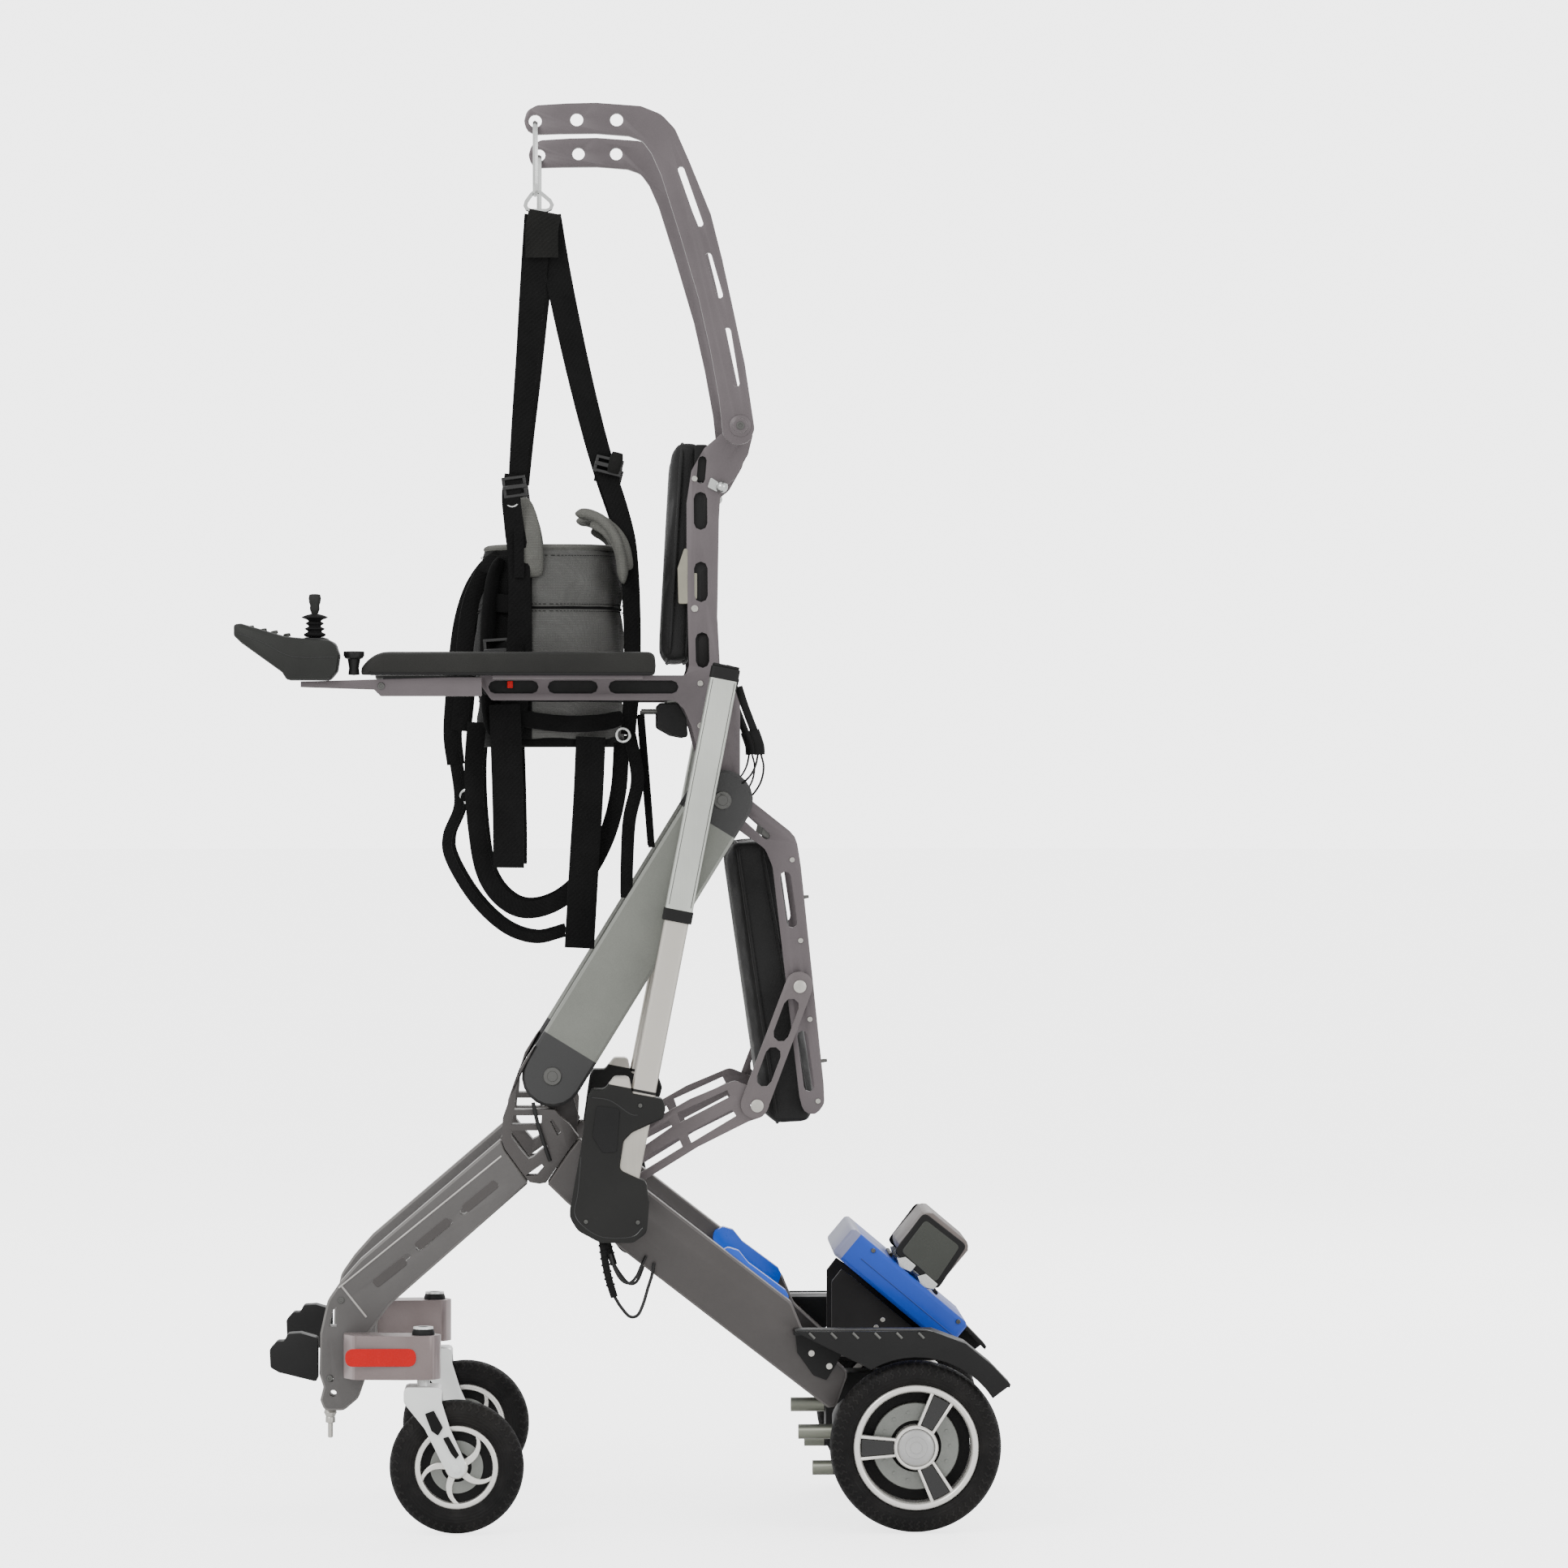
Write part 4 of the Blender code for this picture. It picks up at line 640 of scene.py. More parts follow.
DX, DZ, DR = 0.4094, 0.120, 0.120
CX, CZ, CR = -0.2316, 0.0938, 0.0938
DRIVE_TYRE = tyre_rubber("drive_tyre_rubber", DX, DZ, 0.101, 0.121, 64)
CASTER_TYRE = tyre_rubber("caster_tyre_rubber", CX, CZ, 0.080, 0.095, 48)
for s, tag in SIDES:
    y = 0.270 * s
    body = "drive_wheel_" + tag
    bm = bmesh.new()
    prof = [(0.0865, 0.0185), (0.0900, 0.0215), (0.0960, 0.0240), (0.1030, 0.0246), (0.1100, 0.0235), (0.1148, 0.0205), (0.1172, 0.0165), (0.1190, 0.0105), (0.1198, 0.0050), (0.1200, 0.0)]
    full = prof + [(r, -a) for r, a in prof[-2::-1]]
    wheel_ring(bm, DX, DZ, y, full + [(0.084, -0.0150), (0.084, 0.0150), full[0]], 128)
    tyre = made(body + "_tyre", bm, DRIVE_TYRE, body, angle=50)
    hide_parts("drive_tyre_" + tag)
    bm = bmesh.new()
    # barrel with a raised outer lip
    wheel_ring(bm, DX, DZ, y, [(0.0772, s * 0.0160), (0.0790, s * 0.0225), (0.0812, s * 0.0238), (0.0850, s * 0.0238), (0.0872, s * 0.0222), (0.0876, s * 0.0190), (0.0838, s * 0.0160), (0.0838, -s * 0.0190), (0.0868, -s * 0.0225), (0.0830, -s * 0.0238), (0.0790, -s * 0.0225), (0.0772, -s * 0.0160), (0.0772, s * 0.0160)], 128)
    rim = made(body + "_rim", bm, RIM, body, angle=50)
    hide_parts("drive_rim_" + tag)
    bm = bmesh.new()
    wheel_ring(bm, DX, DZ, y, [(0.0, -s * 0.004), (0.0768, -s * 0.010), (0.0768, -s * 0.014), (0.0, -s * 0.018)], 96)
    made(body + "_back_plate", bm, RIM_DARK, body)
    bm = bmesh.new()
    wheel_ring(bm, DX, DZ, y, [(0.036, s * 0.001), (0.060, s * 0.001), (0.061, 0), (0.061, -s * 0.004), (0.036, -s * 0.004), (0.036, s * 0.001)], 72)
    for k in range(14):
        a = math.tau * k / 14
        lathe(bm, [(0, s * 0.0016), (0.0024, s * 0.0016), (0.0024, s * 0.003), (0, s * 0.003)], (DX + 0.048 * math.cos(a), y, DZ + 0.048 * math.sin(a)), "Y", 10)
    made(body + "_brake_disc", bm, DISC, body)
    for k, deg in enumerate((180, 62, -62)):
        a = math.radians(deg)
        u, v = Vector((math.cos(a), math.sin(a))), Vector((-math.sin(a), math.cos(a)))
        c = Vector((DX, DZ))

        def at(r, w):
            q = c + u * r + v * w
            return (q.x, q.y)

        bm = bmesh.new()
        for side in (-1, 1):
            prism(bm, [at(0.024, side * 0.0125), at(0.079, side * 0.0180), at(0.079, side * 0.0132), at(0.024, side * 0.0085)], y + s * 0.010, y + s * 0.0215)
        prism(bm, [at(0.0265, -0.0125), at(0.0305, -0.0125), at(0.0305, 0.0125), at(0.0265, 0.0125)], y + s * 0.010, y + s * 0.0213)
        made("%s_spoke_%d" % (body, k), bm, RIM, body, bevel=0.0014)
        bm = bmesh.new()
        prism(bm, rounded([at(0.031, -0.0088), at(0.0765, -0.0128), at(0.0765, 0.0128), at(0.031, 0.0088)], 0.003), y + s * 0.008, y + s * 0.0195)
        made("%s_insert_%d" % (body, k), bm, BLACK_GLOSS, body, bevel=0.0008)
    bm = bmesh.new()
    wheel_ring(bm, DX, DZ, y, [(0.0262, -s * 0.004), (0.031, -s * 0.004), (0.0310, s * 0.0215), (0.0295, s * 0.0232), (0.0270, s * 0.0232), (0.0262, s * 0.021), (0.0262, -s * 0.004)], 64)
    made(body + "_hub_ring", bm, RIM, body)
    bm = bmesh.new()
    wheel_ring(bm, DX, DZ, y, [(0, s * 0.0242), (0.008, s * 0.0240), (0.0085, s * 0.0232), (0.0150, s * 0.0230), (0.0155, s * 0.0222), (0.0230, s * 0.0214), (0.0258, s * 0.0195), (0.0258, s * 0.0), (0, s * 0.0)], 48)
    made(body + "_hub_cap", bm, CAP, body)

    body = "caster_roll_" + tag
    bm = bmesh.new()
    prof = [(0.0580, 0.0125), (0.0610, 0.0160), (0.0670, 0.0188), (0.0740, 0.0198), (0.0810, 0.0190), (0.0870, 0.0160), (0.0910, 0.0112), (0.0932, 0.0055), (0.0938, 0.0)]
    full = prof + [(r, -a) for r, a in prof[-2::-1]]
    wheel_ring(bm, CX, CZ, y, full + [(0.056, -0.0110), (0.056, 0.0110), full[0]], 112)
    tyre = made(body + "_tyre", bm, CASTER_TYRE, body, angle=50)
    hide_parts("caster_wheel_" + tag)
    bm = bmesh.new()
    half = [(0.0500, 0.0090), (0.0510, 0.0135), (0.0535, 0.0145), (0.0570, 0.0145), (0.0586, 0.0130), (0.0588, 0.0100)]
    wheel_ring(bm, CX, CZ, y, half + [(r, -a) for r, a in half[::-1]] + [half[0]], 96)
    wheel_ring(bm, CX, CZ, y, [(0.0, 0.0150), (0.0145, 0.0150), (0.0160, 0.0135), (0.0160, -0.0135), (0.0145, -0.0150), (0.0, -0.0150)], 40)
    made(body + "_rim", bm, RIM, body, angle=50)
    bm = bmesh.new()
    wheel_ring(bm, CX, CZ, y, [(0.0, 0.0022), (0.0502, 0.0032), (0.0502, -0.0032), (0.0, -0.0022)], 72)
    made(body + "_web", bm, RIM_DARK, body)
    for k in range(5):
        bm = bmesh.new()
        for sy in (-1, 1):
            left, right = [], []
            for i in range(9):
                t = i / 8
                r = 0.0150 + (0.0510 - 0.0150) * t
                a = math.tau * k / 5 + 0.5 + 0.45 * t * t
                w = (0.0052 - 0.0014 * t) / r
                left.append((CX + r * math.cos(a - w), CZ + r * math.sin(a - w)))
                right.append((CX + r * math.cos(a + w), CZ + r * math.sin(a + w)))
            prism(bm, left + right[::-1], y + sy * 0.0036, y + sy * 0.0122)
        made("%s_spoke_%d" % (body, k), bm, RIM, body, bevel=0.0010)
    for sy in (-1, 1):
        bm = bmesh.new()
        wheel_ring(bm, CX, CZ, y, [(0.022, sy * 0.0034), (0.036, sy * 0.0034), (0.037, sy * 0.0060), (0.021, sy * 0.0060), (0.022, sy * 0.0034)], 64)
        made("%s_inner_disc_%s" % (body, "in" if sy * s < 0 else "out"), bm, DISC, body)
# ---- body harness -----------------------------------------------------------------------------------
VX, VY = -0.1000, 0.0
VEST_ROWS = 44
VEST_Z0, VEST_Z1, SEAMS = 1.1040, 1.3830, (1.1040, 1.1640, 1.2960, 1.3830)


def vest_point(i, count, z, inset=0.0):
    a = math.tau * i / count
    c, d = math.cos(a), math.sin(a)
    f = (z - VEST_Z0) / (VEST_Z1 - VEST_Z0)
    hx = 0.1000 + 0.0050 * math.sin(math.pi * f) - 0.004 * f - inset
    hy = 0.1330 + 0.0060 * math.sin(math.pi * f) - 0.004 * f - inset
    x = hx * math.copysign(abs(c) ** (2 / 2.7), c)
    y = hy * math.copysign(abs(d) ** (2 / 2.7), d)
    return Vector((VX + x - 0.004 * math.sin(3 * f), VY + y, z)), Vector((c / hx, d / hy, 0)).normalized()


def pillow(f):
    return math.sin(math.pi * min(1.0, max(0.0, f))) ** 0.45


bm = bmesh.new()
count = 144
outer, inner = [], []
for j in range(VEST_ROWS + 1):
    z = VEST_Z0 + (VEST_Z1 - VEST_Z0) * j / VEST_ROWS
    k = max(0, sum(z > q + 1e-6 for q in SEAMS) - 1)
    k = min(k, 2)
    fz = (z - SEAMS[k]) / (SEAMS[k + 1] - SEAMS[k])
    ro, ri = [], []
    for i in range(count):
        p, n = vest_point(i, count, z)
        channel = abs(math.sin(3.0 * math.pi * i / count + 0.35)) ** 0.35
        puff = 0.0075 * pillow(fz) * channel
        fold = 0.0016 * math.sin(21 * i / count * math.tau / 3 + 9 * fz) * math.sin(math.pi * fz) + 0.0011 * math.sin(13 * math.tau * i / count + 5 * k) * (1 - fz)
        dip = 0.008 * math.exp(-((p.x - 0.005) / 0.03) ** 2) * (j / VEST_ROWS) ** 6
        ro.append(bm.verts.new(p + n * (puff + fold - 0.002) + Vector((0, 0, -dip))))
        q, m = vest_point(i, count, z, 0.010)
        ri.append(bm.verts.new(q - m * 0.004 * pillow(fz) * channel + Vector((0, 0, -dip))))
    outer.append(ro)
    inner.append(ri)
for rows in (outer, inner):
    for a, b in zip(rows, rows[1:]):
        for i in range(count):
            bm.faces.new((a[i], a[(i + 1) % count], b[(i + 1) % count], b[i]))
for a, b in ((outer[0], inner[0]), (outer[-1], inner[-1])):
    for i in range(count):
        bm.faces.new((a[i], a[(i + 1) % count], b[(i + 1) % count], b[i]))
vest = made("vest_shell", bm, VEST, "harness", angle=70)
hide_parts("harness_vest")


def vest_ring(z, out, low=0.0):
    pts = []
    for i in range(97):
        p, n = vest_point(i, 96, z)
        pts.append(p + n * out + Vector((0, 0, low)))
    return pts


def closed_tube(bm, points, r, seg=8, flat=1.0):
    """A closed round or flattened cord along a level ring."""
    pts = points[:-1]
    rows = []
    for i, p in enumerate(pts):
        t = (pts[(i + 1) % len(pts)] - pts[i - 1]).normalized()
        b = t.cross(Vector((0, 0, 1))).normalized()
        rows.append([bm.verts.new(p + b * math.cos(math.tau * k / seg) * r * flat + Vector((0, 0, 1)) * math.sin(math.tau * k / seg) * r) for k in range(seg)])
    for i in range(len(rows)):
        p, q = rows[i], rows[(i + 1) % len(rows)]
        for k in range(seg):
            bm.faces.new((p[k], p[(k + 1) % seg], q[(k + 1) % seg], q[k]))


for label, z, r, flat in (("lower_rim", 1.1060, 0.0085, 1.0), ("upper_rim", 1.3815, 0.0050, 1.5), ("seam_upper", 1.2960, 0.0022, 1.4), ("seam_lower", 1.1640, 0.0022, 1.4)):
    bm = bmesh.new()
    closed_tube(bm, vest_ring(z, -0.0045 if r > 0.003 else -0.0010), r, 10, flat)
    made("vest_" + label, bm, BINDING if r > 0.003 and label == "lower_rim" else (PAD_GREY if label == "upper_rim" else BINDING), "harness")
# stitched row just under the upper edge and on both sides of the upper seam
for label, z in (("top", 1.3700), ("mid_high", 1.3010), ("mid_low", 1.2910)):
    bm = bmesh.new()
    for i in range(0, 168):
        p, n = vest_point(i, 168, z)
        q, _ = vest_point(i + 0.55, 168, z)
        out = 0.0046 if label == "top" else 0.0030
        tube(bm, [p + n * out, (p + q) / 2 + n * (out + 0.0006), q + n * out], 0.00055, 5)
    made("vest_stitches_" + label, bm, WEB2, "harness")


def buckle(name, centre, w, h, t, s, body="harness", mat=None, bars=1, tilt=0.0):
    """A flat ladder buckle: a rounded frame with cross bars, facing sideways."""
    x0, y0, z0 = centre
    bm = bmesh.new()
    c, d = math.cos(math.radians(tilt)), math.sin(math.radians(tilt))

    def tr(x, z):
        return (x0 + x * c - z * d, z0 + x * d + z * c)

    out = [tr(x, z) for x, z in rounded([(-w / 2, -h / 2), (w / 2, -h / 2), (w / 2, h / 2), (-w / 2, h / 2)], 0.004)]
    edge = 0.0045
    prism(bm, [tr(x, z) for x, z in rounded([(-w / 2, -h / 2), (w / 2, -h / 2), (w / 2, -h / 2 + edge), (-w / 2, -h / 2 + edge)], 0.0015)], y0, y0 + s * t)
    prism(bm, [tr(x, z) for x, z in rounded([(-w / 2, h / 2 - edge), (w / 2, h / 2 - edge), (w / 2, h / 2), (-w / 2, h / 2)], 0.0015)], y0, y0 + s * t)
    for side in (-1, 1):
        prism(bm, [tr(x, z) for x, z in rounded([(side * w / 2, -h / 2), (side * w / 2, h / 2), (side * (w / 2 - edge), h / 2), (side * (w / 2 - edge), -h / 2)], 0.0015)], y0 + s * t * 0.1, y0 + s * t * 0.95)
    for k in range(bars):
        zc = -h / 2 + h * (k + 1) / (bars + 1)
        prism(bm, [tr(x, z) for x, z in [(-w / 2, zc - 0.003), (w / 2, zc - 0.003), (w / 2, zc + 0.003), (-w / 2, zc + 0.003)]], y0 + s * t * 0.3, y0 + s * t * 1.25)
    return made(name, bm, mat or BLACK_GLOSS, body, bevel=0.0009)


def slab(name, points, width, thick, mat, across=(0, 1, 0), n=6, body="harness", sub=1):
    """A padded strip: an oval section swept along a path, thicker in the middle of its width and rounded at its ends."""
    pts = smooth_path(points, n)
    w = Vector(across).normalized()
    bm = bmesh.new()
    rows = []
    for i, p in enumerate(pts):
        t = (pts[min(i + 1, len(pts) - 1)] - pts[max(i - 1, 0)]).normalized()
        ww = (w - t * w.dot(t)).normalized()
        f = t.cross(ww).normalized()
        share = i / (len(pts) - 1)
        close = min(1.0, (min(share, 1 - share) / 0.10)) ** 0.5 if 0 < share < 1 else 0.0
        close = max(close, 0.22)
        ring = []
        for k in range(16):
            a = math.tau * k / 16
            cx, cy = math.cos(a), math.sin(a)
            ring.append(bm.verts.new(p + ww * (width / 2) * math.copysign(abs(cx) ** 0.55, cx) * (0.75 + 0.25 * close) + f * (thick / 2) * math.copysign(abs(cy) ** 0.8, cy) * close))
        rows.append(ring)
    for p, q in zip(rows, rows[1:]):
        for k in range(16):
            bm.faces.new((p[k], p[(k + 1) % 16], q[(k + 1) % 16], q[k]))
    bm.faces.new(rows[0][::-1])
    bm.faces.new(rows[-1])
    o = made(name, bm, mat, body, angle=75, sub=sub)
    return o


HANG = []  # pieces below the vest, which fold up on the seat when the real lift is lowered; here each only gets a mesh of its own
for s, tag in SIDES:
    # suspension straps: from the ring at the hook to the front and rear of the vest
    front = mirrored([(-0.1175, -0.2335, 1.8432), (-0.1258, -0.2130, 1.7491), (-0.1341, -0.1880, 1.6481), (-0.1424, -0.1660, 1.5577), (-0.1484, -0.1500, 1.4827)], s)
    strap_f = ribbon("suspension_front_" + tag, front, 0.0400, thick=0.0026, turn=0, turn_end=0, wide_end=0.0250)
    rear = mirrored([(-0.1039, -0.2310, 1.8422), (-0.0892, -0.2120, 1.7606), (-0.0677, -0.1860, 1.6597), (-0.0460, -0.1640, 1.5693), (-0.0254, -0.1480, 1.4955), (-0.0035, -0.1400, 1.4279), (0.0081, -0.1330, 1.3752), (0.0139, -0.1180, 1.2833), (0.0139, -0.1120, 1.1910), (0.0081, -0.1120, 1.1159)], s)
    strap_r = ribbon("suspension_rear_" + tag, rear, 0.0360, thick=0.0026, wide_end=0.0210)
    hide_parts("suspension_strap_" + tag)
    # stitched head where both legs wrap the ring
    ribbon("suspension_wrap_" + tag, mirrored([(-0.1084, -0.2350, 1.8476), (-0.1130, -0.2345, 1.8214), (-0.1130, -0.2290, 1.7843)], s), 0.0460, thick=0.0062, mat=WEB2)
    buckle("front_buckle_" + tag, (-0.1525, s * 0.1520, 1.4660), 0.034, 0.030, 0.006, s, bars=1, tilt=8)
    bm = bmesh.new()
    lathe(bm, [(0.0100 + 0.0022 * math.cos(math.tau * k / 10), 0.0022 * math.sin(math.tau * k / 10)) for k in range(11)], (-0.1560, s * 0.1550, 1.4480), "Y", 32)
    made("front_ring_" + tag, bm, CHROME, "harness")
    ribbon("front_link_" + tag, mirrored([(-0.1541, -0.1530, 1.4837), (-0.1575, -0.1560, 1.4525), (-0.1530, -0.1530, 1.4090), (-0.1462, -0.1480, 1.3516), (-0.1462, -0.1450, 1.2481), (-0.1531, -0.1430, 1.1561), (-0.1624, -0.1380, 1.1158)], s), 0.0250, thick=0.0030, wide_end=0.0400)
    buckle("rear_buckle_" + tag, (-0.0195, s * 0.1515, 1.4960), 0.040, 0.024, 0.006, s, bars=1, tilt=-14)
    bm = bmesh.new()
    lathe(bm, [(0, -0.0155), (0.0075, -0.0150), (0.0095, -0.008), (0.0095, 0.008), (0.0075, 0.0150), (0, 0.0155)], (-0.0100, s * 0.1560, 1.5000), (0.25, 0, 1), 20)
    made("rear_buckle_roll_" + tag, bm, WEB2, "harness")
    # shoulder pads
    slab("shoulder_front_" + tag, mirrored([(-0.1313, -0.1400, 1.3381), (-0.1324, -0.1440, 1.3748), (-0.1370, -0.1430, 1.4094), (-0.1441, -0.1330, 1.4328), (-0.1535, -0.1180, 1.4473)], s), 0.0400, 0.0150, PAD_GREY, across=(1, 0, 0.15))
    ribbon("shoulder_front_band_" + tag, mirrored([(-0.1461, -0.1520, 1.3377), (-0.1461, -0.1545, 1.3744), (-0.1472, -0.1535, 1.4089), (-0.1508, -0.1440, 1.4346)], s), 0.0140, thick=0.0030)
    slab("shoulder_rear_" + tag, mirrored([(0.0012, -0.1270, 1.3292), (-0.0011, -0.1290, 1.3638), (-0.0104, -0.1290, 1.3961), (-0.0265, -0.1240, 1.4170), (-0.0462, -0.1180, 1.4276), (-0.0623, -0.1130, 1.4290)], s), 0.0520, 0.0170, PAD_GREY, across=(0, 1, 0))
    slab("shoulder_rear_wing_" + tag, mirrored([(0.0057, -0.1370, 1.3474), (-0.0023, -0.1400, 1.3841), (-0.0196, -0.1390, 1.4072), (-0.0427, -0.1330, 1.4213)], s), 0.0250, 0.0100, PAD_GREY, across=(0.5, 0.1, 0.8))
    # front closure: black panel, release buckle, and the strap that bows out in front of it
    slab("front_flap_" + tag, mirrored([(-0.1676, -0.1050, 1.3646), (-0.1791, -0.1080, 1.3356), (-0.1860, -0.1100, 1.2835), (-0.1883, -0.1100, 1.2141), (-0.1861, -0.1060, 1.1564), (-0.1793, -0.1000, 1.1159)], s), 0.0620, 0.0150, BINDING, across=(0.35, 0.9, 0))
    bow = mirrored([(-0.1723, -0.1000, 1.3670), (-0.1931, -0.1060, 1.3506), (-0.2126, -0.1090, 1.3205), (-0.2265, -0.1100, 1.2777), (-0.2346, -0.1100, 1.2257), (-0.2404, -0.1080, 1.1679), (-0.2440, -0.1050, 1.1159), (-0.2394, -0.1010, 1.0731)], s)
    ribbon("front_bow_" + tag, bow, 0.0300, thick=0.0040, turn=25, turn_end=10, wide_end=0.0200)
    ribbon("front_bow_tail_" + tag, mirrored([(-0.1975, -0.1160, 1.3469), (-0.2147, -0.1200, 1.3040), (-0.2228, -0.1200, 1.2486), (-0.2263, -0.1170, 1.1794), (-0.2322, -0.1120, 1.1217)], s), 0.0240, thick=0.0034, turn=-20, turn_end=8)
    buckle("chest_buckle_" + tag, (-0.1780, s * 0.1290, 1.2260), 0.036, 0.052, 0.011, s, bars=2, tilt=4)
    slab("chest_strap_" + tag, mirrored([(-0.1886, -0.0980, 1.3046), (-0.1671, -0.1330, 1.3014), (-0.1370, -0.1470, 1.2987)], s), 0.0260, 0.0050, BINDING, across=(0, 0, 1))
    slab("waist_strap_" + tag, mirrored([(-0.1956, -0.0960, 1.2375), (-0.1717, -0.1330, 1.2345), (-0.1392, -0.1490, 1.2320)], s), 0.0300, 0.0060, BINDING, across=(0, 0, 1))
    slab("hip_strap_" + tag, mirrored([(-0.1933, -0.0940, 1.1542), (-0.1671, -0.1330, 1.1446), (-0.1232, -0.1460, 1.1353), (-0.0771, -0.1480, 1.1307), (-0.0288, -0.1440, 1.1330), (0.0012, -0.1200, 1.1401)], s), 0.0240, 0.0050, BINDING, across=(0, 0, 1))
    # hanging tails and loops
    HANG.append(ribbon("tail_front_" + tag, mirrored([(-0.1668, -0.1540, 1.1583), (-0.1644, -0.1560, 1.0985), (-0.1622, -0.1540, 1.0295), (-0.1611, -0.1520, 0.9720), (-0.1611, -0.1500, 0.9271)], s), 0.0440, thick=0.0034, turn=0, turn_end=6))
    HANG.append(ribbon("tail_rear_" + tag, mirrored([(-0.0449, -0.1400, 1.1123), (-0.0484, -0.1430, 1.0294), (-0.0541, -0.1410, 0.9373), (-0.0611, -0.1380, 0.8128)], s), 0.0420, thick=0.0034, turn=0, turn_end=-8))
    loop = ribbon("leg_loop_" + tag, mirrored([(-0.2066, -0.1200, 1.1332), (-0.2111, -0.1240, 1.0639), (-0.2065, -0.1250, 0.9832), (-0.1950, -0.1220, 0.9196), (-0.1697, -0.1180, 0.8815), (-0.1351, -0.1150, 0.8664), (-0.0912, -0.1150, 0.8791), (-0.0519, -0.1170, 0.9161), (-0.0219, -0.1190, 0.9715), (-0.0057, -0.1180, 1.0350), (-0.0011, -0.1150, 1.1043)], s), 0.0270, thick=0.0040, turn=8, turn_end=-12, wide_end=0.0220)
    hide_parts("leg_strap_" + tag)
    HANG.append(loop)
    HANG.append(ribbon("outer_loop_" + tag, mirrored([(-0.2395, -0.1000, 1.0812), (-0.2324, -0.1040, 1.0176), (-0.2485, -0.1080, 0.9714), (-0.2438, -0.1100, 0.9367), (-0.2104, -0.1080, 0.8812), (-0.1676, -0.1040, 0.8406), (-0.1237, -0.1000, 0.8255), (-0.0821, -0.0980, 0.8347)], s), 0.0140, thick=0.0034, turn=20, turn_end=-10))
    HANG.append(ribbon("thin_tail_rear_" + tag, mirrored([(0.0104, -0.1260, 1.1158), (0.0219, -0.1280, 1.0524), (0.0104, -0.1270, 0.9947), (0.0069, -0.1250, 0.9370), (0.0058, -0.1240, 0.8839)], s), 0.0180, thick=0.0026, turn=-10, turn_end=25))
    HANG.append(ribbon("thin_tail_edge_" + tag, mirrored([(0.0266, -0.1080, 1.1448), (0.0313, -0.1090, 1.0870), (0.0370, -0.1080, 1.0176), (0.0417, -0.1060, 0.9552)], s), 0.0100, thick=0.0022, turn=0, turn_end=30))
    for k, (px, pz, py) in enumerate(((0.0010, 1.1150, 0.1400), (-0.2210, 1.0280, 0.1060))):
        bm = bmesh.new()
        lathe(bm, [(0.0095 + 0.0019 * math.cos(math.tau * q / 8), 0.0019 * math.sin(math.tau * q / 8)) for q in range(9)], (px, s * py, pz), (0.2, 1, 0.1), 28)
        o = made("small_ring_%d_%s" % (k, tag), bm, CHROME, "harness")
        if k:
            HANG.append(o)
for o in HANG:
    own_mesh(o)


# ---- cushions -------------------------------------------------------------------------------------------
def inflate(o, voxel=0.006, pressure=4.0, cap=0.009, keep_plane=None):
    """Swells a closed slab as stuffed fabric does: remesh, cloth with inner pressure, limited travel, result kept."""
    bpy.context.view_layer.objects.active = o
    r = o.modifiers.new("remesh", "REMESH")
    r.mode, r.voxel_size = "VOXEL", voxel
    deps = bpy.context.evaluated_depsgraph_get()
    me = bpy.data.meshes.new_from_object(o.evaluated_get(deps))
    o.modifiers.clear()
    o.data = me
    rest = np.empty(len(me.vertices) * 3)
    me.vertices.foreach_get("co", rest)
    rest = rest.reshape(-1, 3)
    c = o.modifiers.new("cloth", "CLOTH")
    st = c.settings
    st.quality, st.mass = 5, 0.3
    st.tension_stiffness = st.compression_stiffness = 12
    st.bending_stiffness = 0.6
    st.use_pressure, st.uniform_pressure_force = True, pressure
    st.effector_weights.gravity = 0
    c.point_cache.frame_start, c.point_cache.frame_end = 1, 20
    for f in range(1, 21):
        SCENE.frame_set(f)
    deps = bpy.context.evaluated_depsgraph_get()
    ev = o.evaluated_get(deps)
    now = np.empty(len(me.vertices) * 3)
    ev.data.vertices.foreach_get("co", now)
    move = now.reshape(-1, 3) - rest
    length = np.linalg.norm(move, axis=1, keepdims=True)
    move *= np.minimum(1.0, cap / np.maximum(length, 1e-9))
    if keep_plane is not None:
        n, d = np.array(keep_plane[:3]), keep_plane[3]
        over = (rest + move) @ n - d
        move -= np.outer(np.maximum(over, 0), n)
    o.modifiers.clear()
    me.vertices.foreach_set("co", (rest + move).ravel())
    me.update()
    SCENE.frame_set(1)
    me.polygons.foreach_set("use_smooth", [True] * len(me.polygons))
    sub = o.modifiers.new("sub", "SUBSURF")
    sub.levels = sub.render_levels = 1
    return o


def side_cushion(name, outline, half_y, mat, body, node, shrink=0.0035, cap=0.008, r=0.010, plane=None):
    """A cushion seen edge-on in the side view: the outline drawn in, rounded, bevelled and swollen."""
    c = Vector((sum(p[0] for p in outline) / len(outline), sum(p[1] for p in outline) / len(outline)))
    inner = []
    for p in outline:
        v = Vector(p) - c
        q = c + v * (1 - shrink / max(v.length, 1e-6))
        inner.append((q.x, q.y))
    bm = bmesh.new()
    prism(bm, rounded(inner, r), -half_y + shrink, half_y - shrink)
    o = made(name, bm, mat, None)
    b = o.modifiers.new("bev", "BEVEL")
    b.width, b.segments, b.limit_method = 0.010, 3, "ANGLE"
    deps = bpy.context.evaluated_depsgraph_get()
    me = bpy.data.meshes.new_from_object(o.evaluated_get(deps))
    o.modifiers.clear()
    o.data = me
    inflate(o, cap=cap, keep_plane=plane)
    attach(o, body)
    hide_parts(node)
    return o


